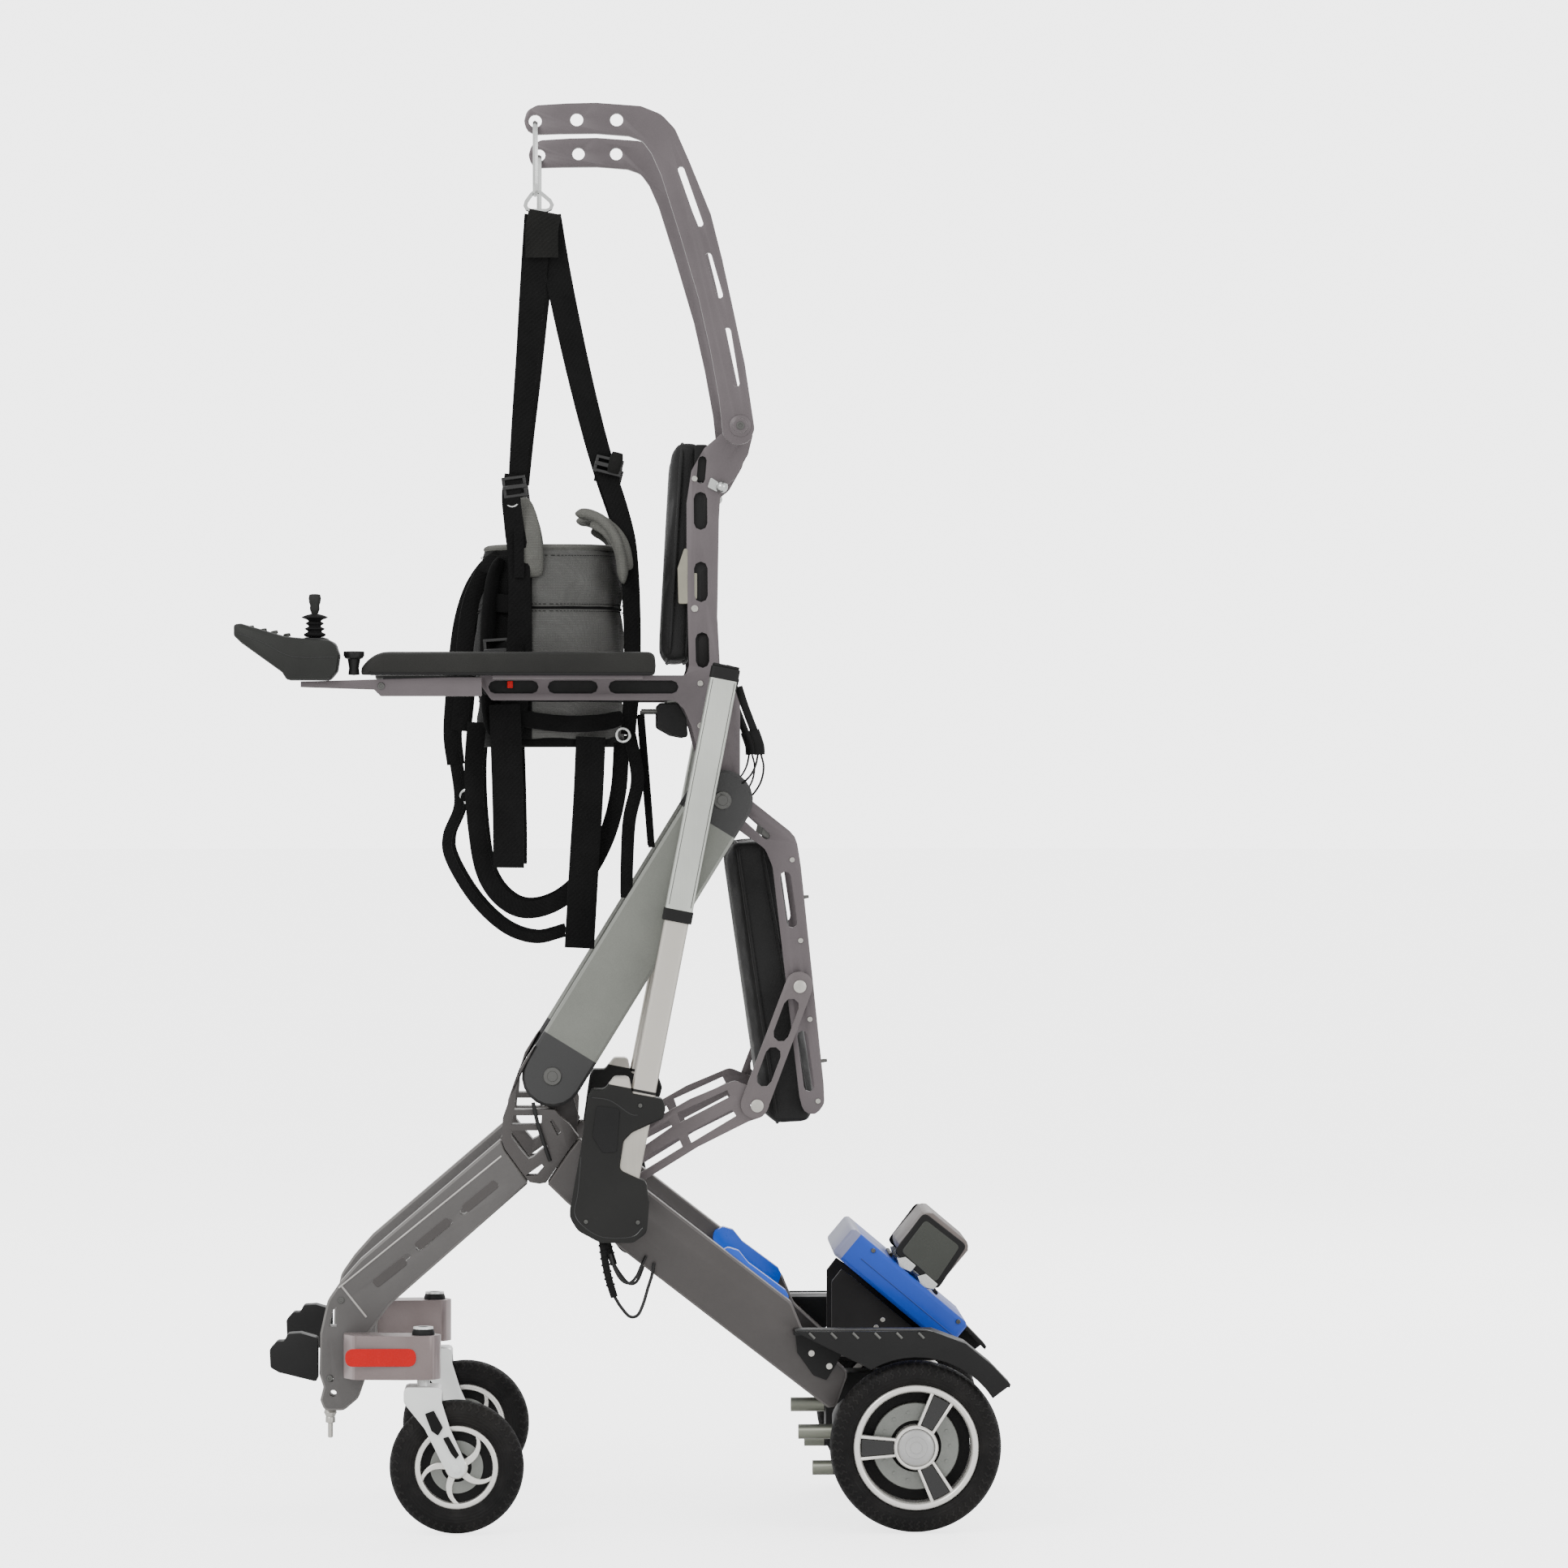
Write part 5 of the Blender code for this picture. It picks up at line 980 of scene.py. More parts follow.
# both outlines are drawn longer than the pad, because rounding the ends takes that much back
BACK = [(-0.0016 + x, z) for x, z in ((0.078, 1.5365), (0.1115, 1.5365), (0.0945, 1.2105), (0.060, 1.2105))]
back = side_cushion("backrest_cushion", BACK, 0.178, SEAT_SKIN, "carriage", "backrest_pad", cap=0.007)
SEATP = [(0.1518, 0.9582), (0.1587, 0.9651), (0.1967, 0.9685), (0.2139, 0.9524), (0.2691, 0.5717), (0.2634, 0.5625), (0.2162, 0.5602), (0.2070, 0.5728)]
LONG = [(x - math.copysign(0.0009, z - 0.76), z + math.copysign(0.0065, z - 0.76)) for x, z in SEATP]
seat = side_cushion("seat_cushion", LONG, 0.149, SEAT_SKIN, "seat", "seat_pad", cap=0.008, r=0.008)


def welt(name, corners, r, body, mat=SEAT_SKIN):
    """Piping sewn round one face of a cushion: corners are 3-D, rounded on the way."""
    pts, n = [], len(corners)
    for i in range(n):
        p, a, b = Vector(corners[i]), Vector(corners[i - 1]), Vector(corners[(i + 1) % n])
        s_, e_ = p + (a - p).normalized() * 0.022, p + (b - p).normalized() * 0.022
        for k in range(7):
            t = k / 6
            pts.append(s_.lerp(p, t).lerp(p.lerp(e_, t), t))
        for k in range(1, 12):
            pts.append(e_.lerp(b + (p - b).normalized() * 0.022, k / 12))
    rows, seg = [], 8
    for i, p in enumerate(pts):
        t = (pts[(i + 1) % len(pts)] - pts[i - 1]).normalized()
        u = t.cross(Vector((1, 0.01, 0))).normalized()
        v = t.cross(u)
        rows.append([bmw.verts.new(p + (u * math.cos(math.tau * k / seg) + v * math.sin(math.tau * k / seg)) * r) for k in range(seg)])
    for i in range(len(rows)):
        a, b = rows[i], rows[(i + 1) % len(rows)]
        for k in range(seg):
            bmw.faces.new((a[k], a[(k + 1) % seg], b[(k + 1) % seg], b[k]))


bmw = bmesh.new()
welt("front", [(0.0850, -0.170, 1.5270), (0.0850, 0.170, 1.5270), (0.0660, 0.170, 1.2210), (0.0660, -0.170, 1.2210)], 0.0028, "carriage")
welt("rear", [(0.1085, -0.170, 1.5235), (0.1085, 0.170, 1.5235), (0.0905, 0.170, 1.2210), (0.0905, -0.170, 1.2210)], 0.0028, "carriage")
made("backrest_piping", bmw, SEAT_SKIN, "carriage", angle=80)
bmw = bmesh.new()
f0, f1, f2, f3 = SEATP[1], SEATP[6], SEATP[2], SEATP[4]
welt("a", [(f0[0] + 0.004, -0.141, f0[1] - 0.004), (f0[0] + 0.004, 0.141, f0[1] - 0.004), (f1[0] + 0.004, 0.141, f1[1] + 0.004), (f1[0] + 0.004, -0.141, f1[1] + 0.004)], 0.0026, "seat")
welt("b", [(f2[0] + 0.000, -0.141, f2[1] - 0.010), (f2[0] + 0.000, 0.141, f2[1] - 0.010), (f3[0] - 0.004, 0.141, f3[1] + 0.004), (f3[0] - 0.004, -0.141, f3[1] + 0.004)], 0.0026, "seat")
made("seat_piping", bmw, SEAT_SKIN, "seat", angle=80)
for label, px in (("upper", 971), ("lower", 998)):
    at = [(0.2346, 0.8167), (0.2657, 0.6016)][0 if label == "upper" else 1]
    bm = bmesh.new()
    lathe(bm, [(0, -0.1560), (0.006, -0.1560), (0.006, 0.1560), (0, 0.1560)], (at[0], 0, at[1]), "Y", 20)
    made("seat_bar_" + label, bm, CHROME, "seat")

# armrest pads: moulded, crowned, with a nose that turns down at the front
ARM = [(-0.3651, 1.2097), (-0.3606, 1.2177), (-0.3287, 1.2313), (0.0372, 1.2313), (0.0463, 1.2234), (0.0486, 1.1984), (-0.3674, 1.1984)]
for s, tag in SIDES:
    x0, x1 = ARM[0][0], ARM[4][0]
    z_low, z_high = ARM[6][1], ARM[2][1]
    bm = bmesh.new()
    rows, steps = [], 60
    for i in range(steps + 1):
        t = i / steps
        x = x0 - 0.0005 + (x1 + 0.001 - x0) * t
        d = min((x - x0) / 0.040, 1.0)
        top = z_low + 0.010 + (z_high - z_low - 0.010) * (1 - (1 - d) ** 2.4)
        e = min((x1 - x) / 0.008, 1.0)
        top -= 0.006 * (1 - max(e, 0)) ** 2
        half = 0.029 - 0.010 * (1 - min((x - x0) / 0.026, 1.0)) ** 2 - 0.004 * (1 - max(e, 0)) ** 2
        ring = []
        for k in range(28):
            a = math.tau * k / 28
            c, q = math.cos(a), math.sin(a)
            zc, hz = (top + z_low) / 2, (top - z_low) / 2
            ring.append(bm.verts.new((x, s * 0.250 + half * math.copysign(abs(c) ** 0.5, c), zc + hz * math.copysign(abs(q) ** (0.62 if q > 0 else 0.35), q))))
        rows.append(ring)
    for a, b in zip(rows, rows[1:]):
        for k in range(28):
            bm.faces.new((a[k], a[(k + 1) % 28], b[(k + 1) % 28], b[k]))
    bm.faces.new(rows[0][::-1])
    bm.faces.new(rows[-1])
    pad = made("armrest_moulded_" + tag, bm, ARM_SKIN, "carriage", angle=60, sub=1)
    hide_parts("armrest_pad_" + tag)
    bm = bmesh.new()
    prism(bm, rounded([(x0 + 0.012, z_low - 0.0002), (x1 - 0.006, z_low - 0.0002), (x1 - 0.006, z_low + 0.0040), (x0 + 0.012, z_low + 0.0040)], 0.001), s * 0.2235, s * 0.2765)
    made("armrest_base_" + tag, bm, BLACK, "carriage", bevel=0.001)

# ---- joystick ---------------------------------------------------------------------------------------------
JX, JY, JZ = -0.4299, -0.250, 1.2495
bm = bmesh.new()
prof = [(0, 0.0605), (0.0040, 0.0622), (0.0078, 0.0612), (0.0088, 0.0560), (0.0080, 0.0500), (0.0066, 0.0460), (0.0070, 0.0410), (0.0060, 0.0380), (0.0045, 0.0340), (0.0045, 0.0300)]
lathe(bm, prof, (JX, JY, JZ), "Z", 32)
knob = made("joystick_knob", bm, STICK, "joystick_stick", angle=60)
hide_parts("joystick_lever")
bm = bmesh.new()
prof = [(0.0045, 0.0345), (0.0130, 0.0325), (0.0182, 0.0300), (0.0184, 0.0288), (0.0110, 0.0262), (0.0085, 0.0240), (0.0128, 0.0215), (0.0130, 0.0205), (0.0090, 0.0180), (0.0088, 0.0165), (0.0140, 0.0140), (0.0142, 0.0130), (0.0100, 0.0105), (0.0100, 0.0090), (0.0152, 0.0065), (0.0152, 0.0040), (0.0120, 0.0020), (0.0, 0.0020)]
lathe(bm, prof, (JX, JY, JZ), "Z", 40)
bellows = made("joystick_bellows", bm, RUBBER, None, angle=60)
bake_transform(bellows)
bm = bmesh.new()
lathe(bm, [(0, 0.0046), (0.0130, 0.0046), (0.0190, 0.0030), (0.0205, 0.0005), (0.0205, -0.0060), (0, -0.0060)], (JX, JY, JZ - 0.0030), "Z", 40)
made("joystick_gate", bm, BLACK_GLOSS, "carriage")
# keypad strip and a split line on the housing
bm = bmesh.new()
for k in range(4):
    x = -0.5190 + 0.0165 * k
    z = 1.2660 - 0.0034 * k
    lathe(bm, [(0, 0.0012), (0.0040, 0.0010), (0.0052, 0.0), (0.0052, -0.004), (0, -0.004)], (x, JY + (0.010 if k % 2 else -0.010), z), (-0.2, 0, 1), 20)
made("joystick_keys", bm, PANEL, "carriage")
bm = bmesh.new()
for sy in (-1, 1):
    tube(bm, smooth_path([(-0.5350, JY + sy * 0.0322, 1.2560), (-0.5000, JY + sy * 0.0324, 1.2430), (-0.4600, JY + sy * 0.0324, 1.2240), (-0.4000, JY + sy * 0.0324, 1.2230)], 6), 0.0006, 6)
made("joystick_split_line", bm, BLACK_GLOSS, "carriage")
KN = [(-0.3753, 1.2279), (-0.3753, 1.1916)]
bm = bmesh.new()
lathe(bm, [(0, 0.0040), (0.0060, 0.0040), (0.0130, 0.0030), (0.0138, 0.0), (0.0132, -0.0055), (0.0090, -0.0075), (0.0070, -0.0200), (0.0082, -0.0290), (0, -0.0300)], (KN[0][0], JY, KN[0][1]), "Z", 28)
for side in (-1, 1):
    prism(bm, rounded([(KN[0][0] + side * 0.0060, KN[0][1] - 0.0045), (KN[0][0] + side * 0.0145, KN[0][1] - 0.0035), (KN[0][0] + side * 0.0145, KN[0][1] + 0.0035), (KN[0][0] + side * 0.0060, KN[0][1] + 0.0040)], 0.001), JY - 0.0035, JY + 0.0035)
made("joystick_clamp_knob", bm, BLACK, "carriage", bevel=0.0005)
# ---- actuators: caps, collars, glands and leads ----------------------------------------------------------
FOOT_X, FOOT_Z = [(-0.0026, 0.4537), (0.1427, 1.2005)][0]
HEAD_X, HEAD_Z = [(-0.0026, 0.4537), (0.1427, 1.2005)][1]
RUN = math.hypot(HEAD_X - FOOT_X, HEAD_Z - FOOT_Z)
UX, UZ = (HEAD_X - FOOT_X) / RUN, (HEAD_Z - FOOT_Z) / RUN


def on_rod(up, across=0.0):
    return (FOOT_X + UX * up + UZ * across, FOOT_Z + UZ * up - UX * across)


def rod_block(bm, up0, up1, half, corner, y):
    section = rounded([(-half, -half), (half, -half), (half, half), (-half, half)], corner, 4)
    low = [bm.verts.new((on_rod(up0, a)[0], y + b, on_rod(up0, a)[1])) for a, b in section]
    high = [bm.verts.new((on_rod(up1, a)[0], y + b, on_rod(up1, a)[1])) for a, b in section]
    bm.faces.new(low)
    bm.faces.new(high[::-1])
    for i in range(len(section)):
        j = (i + 1) % len(section)
        bm.faces.new((low[i], low[j], high[j], high[i]))


def rod_ring(bm, up0, up1, half, hole, corner, y):
    """A square ring round the actuator tube, open in the middle."""
    loops = []
    for h, u in ((half, up0), (half, up1), (hole, up1), (hole, up0)):
        section = rounded([(-h, -h), (h, -h), (h, h), (-h, h)], corner if h == half else corner * 0.8, 4)
        loops.append([bm.verts.new((on_rod(u, a)[0], y + b, on_rod(u, a)[1])) for a, b in section])
    for p, q in zip(loops, loops[1:] + loops[:1]):
        for i in range(len(p)):
            j = (i + 1) % len(p)
            bm.faces.new((p[i], p[j], q[j], q[i]))


def lead(name, points, d, body, exit_first=True):
    """A thin cable along a smooth path: one open curve with its own centreline on a single body, or a tube mesh when
    given a pair of bodies.
    """
    pts = smooth_path([Vector(p) for p in points], 8)
    if isinstance(body, tuple):
        bm = bmesh.new()
        tube(bm, pts, d / 2, 12)
        o = made(name, bm, CABLE, None, angle=80)
        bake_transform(o)
        return o
    c = bpy.data.curves.new(name, "CURVE")
    c.dimensions, c.bevel_depth, c.bevel_resolution, c.use_fill_caps = "3D", d / 2, 3, True
    sp = c.splines.new("POLY")
    sp.points.add(len(pts) - 1)
    for q, p in zip(sp.points, pts):
        q.co = (p.x, p.y, p.z, 1)
    o = bpy.data.objects.new(name, c)
    SCENE.collection.objects.link(o)
    c.materials.append(CABLE)
    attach(o, body)
    return o


for s, tag in SIDES:
    ay = s * 0.262
    low, up = "actuator_lower_" + tag, "actuator_upper_" + tag
    bm = bmesh.new()
    rod_block(bm, 0.752, 0.7690, 0.0204, 0.006, ay)
    rod_block(bm, 0.7688, 0.7730, 0.0188, 0.006, ay)
    made("actuator_cap_" + tag, bm, BLACK, up, bevel=0.0012)
    bm = bmesh.new()
    prism(bm, rounded([(0.1457, 1.2070), (0.1604, 1.2014), (0.1627, 1.1912), (0.1582, 1.1742), (0.1491, 1.1765)], 0.003), ay - 0.017, ay + 0.017)
    made("actuator_cap_nose_" + tag, bm, BLACK, up, bevel=0.0012)
    bm = bmesh.new()
    rod_ring(bm, 0.4075, 0.4245, 0.0209, 0.0178, 0.005, ay)
    made("actuator_wiper_" + tag, bm, BLACK, up, bevel=0.0010)
    # dark lines near both edges of the extrusion's face: painted shade of its grooves
    bm = bmesh.new()
    for a in (-0.0152, 0.0160):
        p, q = on_rod(0.430, a), on_rod(0.750, a)
        tube(bm, [(p[0], ay + s * 0.01945, p[1]), (q[0], ay + s * 0.01945, q[1])], 0.0006, 6)
    made("sleeve_groove_shade_" + tag, bm, DARK_STEEL, up)
    # a dark line on the silver part of the lower tube: painted shade of its notch
    bm = bmesh.new()
    p, q = on_rod(0.170, 0.0162), on_rod(0.404, 0.0162)
    tube(bm, [(p[0], ay + s * 0.0120, p[1]), (q[0], ay + s * 0.0120, q[1])], 0.0012, 6)
    made("tube_notch_shade_" + tag, bm, BLACK, low)
    # silver back of the drive tube showing in the window of the motor case
    bm = bmesh.new()
    rod_block(bm, 0.030, 0.1640, 0.01735, 0.005, ay)
    made("drive_tube_" + tag, bm, HOUSING_TUBE, low)
    # motor case: parting line, ribs, cable boot
    bm = bmesh.new()
    seam = [(-0.0434, 0.6094), (-0.0173, 0.6048), (0.0098, 0.5867), (0.0211, 0.5845)]
    tube(bm, smooth_path([(x, ay + s * 0.0221, z) for x, z in seam], 6), 0.0007, 6)
    seam = [(-0.0581, 0.5267), (-0.0626, 0.4758), (-0.0671, 0.4486), (-0.0558, 0.4305), (-0.0287, 0.4147), (0.0121, 0.4147), (0.0279, 0.4271)]
    tube(bm, smooth_path([(x, ay + s * 0.0221, z) for x, z in seam], 6), 0.0007, 6)
    made("motor_case_seam_" + tag, bm, BLACK_GLOSS, low)
    bm = bmesh.new()
    prism(bm, rounded([(-0.0366, 0.5980), (-0.0038, 0.5935), (-0.0083, 0.5324), (-0.0287, 0.5324), (-0.0422, 0.5550)], 0.006), ay + s * 0.0218, ay + s * 0.0234)
    made("motor_case_panel_" + tag, bm, MOTOR_SKIN, low, bevel=0.0007)
    for k, (px, pz) in enumerate([(-0.0513, 0.4362), (0.0245, 0.5980), (0.0211, 0.4351)]):
        screw("motor_case_screw_%d_%s" % (k, tag), px, pz, ay + s * 0.0215, s, 0.0032, low, mat=DARK_STEEL)
    bm = bmesh.new()
    pts = smooth_path([Vector((p[0], (p[1] + 0.262) * s * -1 + ay, p[2])) for p in [(-0.0287, -0.2620, 0.4106), (-0.0253, -0.2620, 0.3834), (-0.0196, -0.2620, 0.3550), (-0.0117, -0.2620, 0.3289)]], 6)
    tube(bm, pts, 0.0052, 12)
    for k in range(7):
        p = pts[min(2 + k * 2, len(pts) - 1)]
        lathe(bm, [(0, -0.0012), (0.0066, -0.0012), (0.0066, 0.0012), (0, 0.0012)], tuple(p), (0.18, 0, -1), 14)
    made("lower_gland_" + tag, bm, RUBBER, low)
    lead("lower_lead_front_" + tag, mirrored([(-0.0117, -0.2620, 0.3300), (-0.0026, -0.2620, 0.3153), (0.0099, -0.2600, 0.3015), (0.0213, -0.2570, 0.3035), (0.0293, -0.2520, 0.3200), (0.0350, -0.2460, 0.3388), (0.0407, -0.2400, 0.3565), (0.0441, -0.2385, 0.3745)], s), 0.0046, (low, "base"))
    lead("lower_lead_rear_" + tag, mirrored([(-0.0173, -0.2660, 0.3894), (-0.0117, -0.2660, 0.3701), (-0.0026, -0.2640, 0.3541), (0.0088, -0.2600, 0.3480), (0.0190, -0.2540, 0.3566), (0.0259, -0.2470, 0.3707), (0.0327, -0.2390, 0.3837)], s), 0.0042, (low, "base"))
    bm = bmesh.new()
    tube(bm, smooth_path([Vector(p) for p in mirrored([(0.1620, -0.2620, 1.1823), (0.1699, -0.2620, 1.1574), (0.1801, -0.2620, 1.1301), (0.1869, -0.2620, 1.1120)], s)], 6), 0.0056, 12)
    tube(bm, smooth_path([Vector(p) for p in mirrored([(0.1835, -0.2620, 1.1210), (0.1904, -0.2620, 1.1006), (0.1915, -0.2620, 1.0870)], s)], 6), 0.0075, 12)
    made("upper_gland_" + tag, bm, RUBBER, "carriage")
    lead("upper_lead_front_" + tag, mirrored([(0.1893, -0.2600, 1.0881), (0.1860, -0.2560, 1.0722), (0.1793, -0.2480, 1.0586), (0.1694, -0.2360, 1.0483), (0.1594, -0.2250, 1.0425)], s), 0.0030, "carriage")
    lead("upper_lead_rear_" + tag, mirrored([(0.1938, -0.2600, 1.0870), (0.1973, -0.2560, 1.0700), (0.1942, -0.2460, 1.0506), (0.1854, -0.2320, 1.0346), (0.1755, -0.2180, 1.0254), (0.1654, -0.2100, 1.0185)], s), 0.0030, "carriage")

# ---- trim of the carriage -----------------------------------------------------------------------------------
for s, tag in SIDES:
    inner = s * 0.1835
    for k, (px0, px1) in enumerate(((596, 668), (670, 742), (744, 840))):
        pts = [(-0.8782, 1.1717), (-0.8782, 1.1935)]
        a, b = [(-0.1959, 1.1900), (-0.1135, 1.1900)], [(-0.1112, 1.1900), (-0.0288, 1.1900)]
        c = [(-0.0265, 1.1900), (0.0846, 1.1900)]
        seg_ = (a, b, c)[k]
        bm = bmesh.new()
        prism(bm, rounded([(seg_[0][0], pts[0][1]), (seg_[1][0], pts[0][1]), (seg_[1][0], pts[1][1]), (seg_[0][0], pts[1][1])], 0.004), inner - s * 0.0035, inner)
        made("armrest_liner_%d_%s" % (k, tag), bm, BLACK, "carriage", bevel=0.0008)
    for k, o4 in enumerate(([(0.0973, 1.4629), (0.1363, 1.4584), (0.1340, 1.4056), (0.1305, 1.3988), (0.0996, 1.4010)], [(0.0985, 1.3621), (0.1248, 1.3598), (0.1340, 1.3369), (0.1317, 1.3002), (0.1007, 1.2990)], [(0.1007, 1.2635), (0.1294, 1.2589), (0.1328, 1.2475), (0.1305, 1.2039), (0.1030, 1.2039)], [(0.1019, 1.5248), (0.1202, 1.5248), (0.1202, 1.4721), (0.1007, 1.4721)])):
        bm = bmesh.new()
        prism(bm, rounded(o4, 0.004), s * 0.1765, s * 0.1832)
        made("upright_liner_%d_%s" % (k, tag), bm, BLACK, "carriage", bevel=0.001)
    bm = bmesh.new()
    prism(bm, rounded([(0.0777, 1.3503), (0.0869, 1.3778), (0.0926, 1.3778), (0.0926, 1.2999), (0.0789, 1.2999)], 0.003), s * 0.176, s * 0.1900)
    prism(bm, rounded([(0.0983, 1.3434), (0.1052, 1.3434), (0.1052, 1.3068), (0.0983, 1.3068)], 0.002), s * 0.1834, s * 0.1880)
    made("upright_clip_" + tag, bm, BEIGE, "carriage", bevel=0.0008)
    bm = bmesh.new()
    block = rounded([(0.0493, 1.1604), (0.0791, 1.1604), (0.0906, 1.1398), (0.0929, 1.1100), (0.0699, 1.1145), (0.0493, 1.1260)], 0.006)
    prism(bm, block, s * 0.120, s * 0.170)
    for q in range(5):
        x0 = block[0][0] + 0.003 + 0.007 * q
    made("lap_block_" + tag, bm, BLACK, "carriage", bevel=0.002)
    bm = bmesh.new()
    tube(bm, [Vector(p) for p in mirrored([(0.0264, -0.1500, 1.1491), (0.0540, -0.1500, 1.1491)], s)], 0.0030, 10)
    tube(bm, [Vector(p) for p in mirrored([(0.0630, -0.1750, 1.1627), (0.0905, -0.1780, 1.1661)], s)], 0.0035, 10)
    made("lap_pin_" + tag, bm, DARK_STEEL, "carriage")
    # clamp of the hanger arm: washer, knob and the bright ball stud behind it
    hx, hz = 0.1649, 1.5481
    bm = bmesh.new()
    lathe(bm, [(0, 0), (0.0150, 0), (0.0150, s * 0.0020), (0.0105, s * 0.0032), (0.0100, s * 0.0060), (0, s * 0.0064)], (hx, s * 0.2412, hz), "Y", 32)
    made("hanger_washer_" + tag, bm, PLATE, "carriage")
    screw("hanger_bolt_" + tag, hx, hz, s * 0.2474, s, 0.0056, "carriage", mat=DARK_STEEL)
    bx, bz = [(0.1439, 1.4643), (0.1439, 1.4529)][0]
    bm = bmesh.new()
    lathe(bm, [(0.00001, 0.0085)] + [(0.0085 * math.sin(math.pi * k / 12), 0.0085 * math.cos(math.pi * k / 12)) for k in range(1, 12)] + [(0.00001, -0.0085)], (bx - 0.004, s * 0.199, bz), "Y", 24)
    prism(bm, rounded([(0.1245, 1.4780), (0.1382, 1.4689), (0.1336, 1.4575), (0.1199, 1.4643)], 0.002), s * 0.1905, s * 0.1950)
    made("latch_ball_" + tag, bm, CHROME, "carriage")
    for k, (px, pz) in enumerate([(0.1017, 1.2931), (0.1098, 1.1877), (0.1098, 1.1282), (0.1017, 1.4762)]):
        screw("carriage_screw_%d_%s" % (k, tag), px, pz, s * 0.1899, s, 0.0042 if k else 0.0050, "carriage")
    # rail of the armrest in front: joint line and pin
    bm = bmesh.new()
    x0, z0 = [(-0.3378, 1.1916), (-0.2014, 1.1916)][0]
    x1 = [(-0.3378, 1.1916), (-0.2014, 1.1916)][1][0]
    prism(bm, rounded([(x0, z0 + 0.0035), (x1, z0 + 0.0035), (x1, z0 - 0.017), (x0 + 0.014, z0 - 0.017), (x0, z0 - 0.006)], 0.003), s * 0.2380, s * 0.2620) if s > 0 else None
    if s > 0:
        made("armrest_rail_front_" + tag, bm, PLATE, "carriage", bevel=0.001)
    else:
        bm.free()
    px, pz = [(-0.3469, 1.1791), (-0.3424, 1.1791)][0]
    screw("armrest_pin_" + tag, px + 0.010, pz + 0.004, s * 0.2622, s, 0.0050, "carriage", mat=DARK_STEEL)
bm = bmesh.new()
x0, z0 = [(-0.1583, 1.1870), (-0.1583, 1.1870)][0]
prism(bm, rounded([(x0 - 0.004, z0 + 0.004), (x0 + 0.004, z0 + 0.004), (x0 + 0.004, z0 - 0.006), (x0 - 0.004, z0 - 0.006)], 0.0015), -0.1900, -0.1865)
made("red_catch", bm, RED, "carriage", bevel=0.0006)

# ---- screws and pins of the seat linkage ------------------------------------------------------------------------
for s, tag in SIDES:
    for k, (px, pz) in enumerate([(0.2400, 0.9383), (0.2520, 0.8240), (0.2652, 0.7126), (0.2767, 0.5966)]):
        screw("seat_screw_%d_%s" % (k, tag), px, pz, s * 0.1629, s, 0.0038, "seat")
    for k, (px, pz, body, r) in enumerate([p + ("seat_links", 0.0090) for p in [(0.2505, 0.7596)]] + [p + ("seat_links", 0.0090) for p in [(0.1901, 0.5911)]]):
        bm = bmesh.new()
        lathe(bm, [(0, s * 0.0034), (r * 0.55, s * 0.0034), (r, s * 0.0022), (r, 0), (0, 0)], (px, s * 0.1813, pz), "Y", 26)
        made("link_pin_%d_%s" % (k, tag), bm, ZINC, body)
    bm = bmesh.new()
    for px, pz in [(0.2584, 0.8859), (0.2843, 0.6539)]:
        lathe(bm, [(0, 0.0045), (0.0022, 0.0045), (0.0026, 0.0), (0.0026, -0.010), (0, -0.010)], (px + 0.001, s * 0.1600, pz), (1, 0, 0.1), 12)
    made("seat_stud_" + tag, bm, DARK_STEEL, "seat")
    bm = bmesh.new()
    prism(bm, rounded([(0.1987, 0.9859), (0.2240, 0.9687), (0.2286, 0.9572), (0.2159, 0.9606), (0.1964, 0.9744)], 0.002), s * 0.1500, s * 0.1566)
    made("seat_latch_" + tag, bm, DARK_STEEL, "seat", bevel=0.0006)

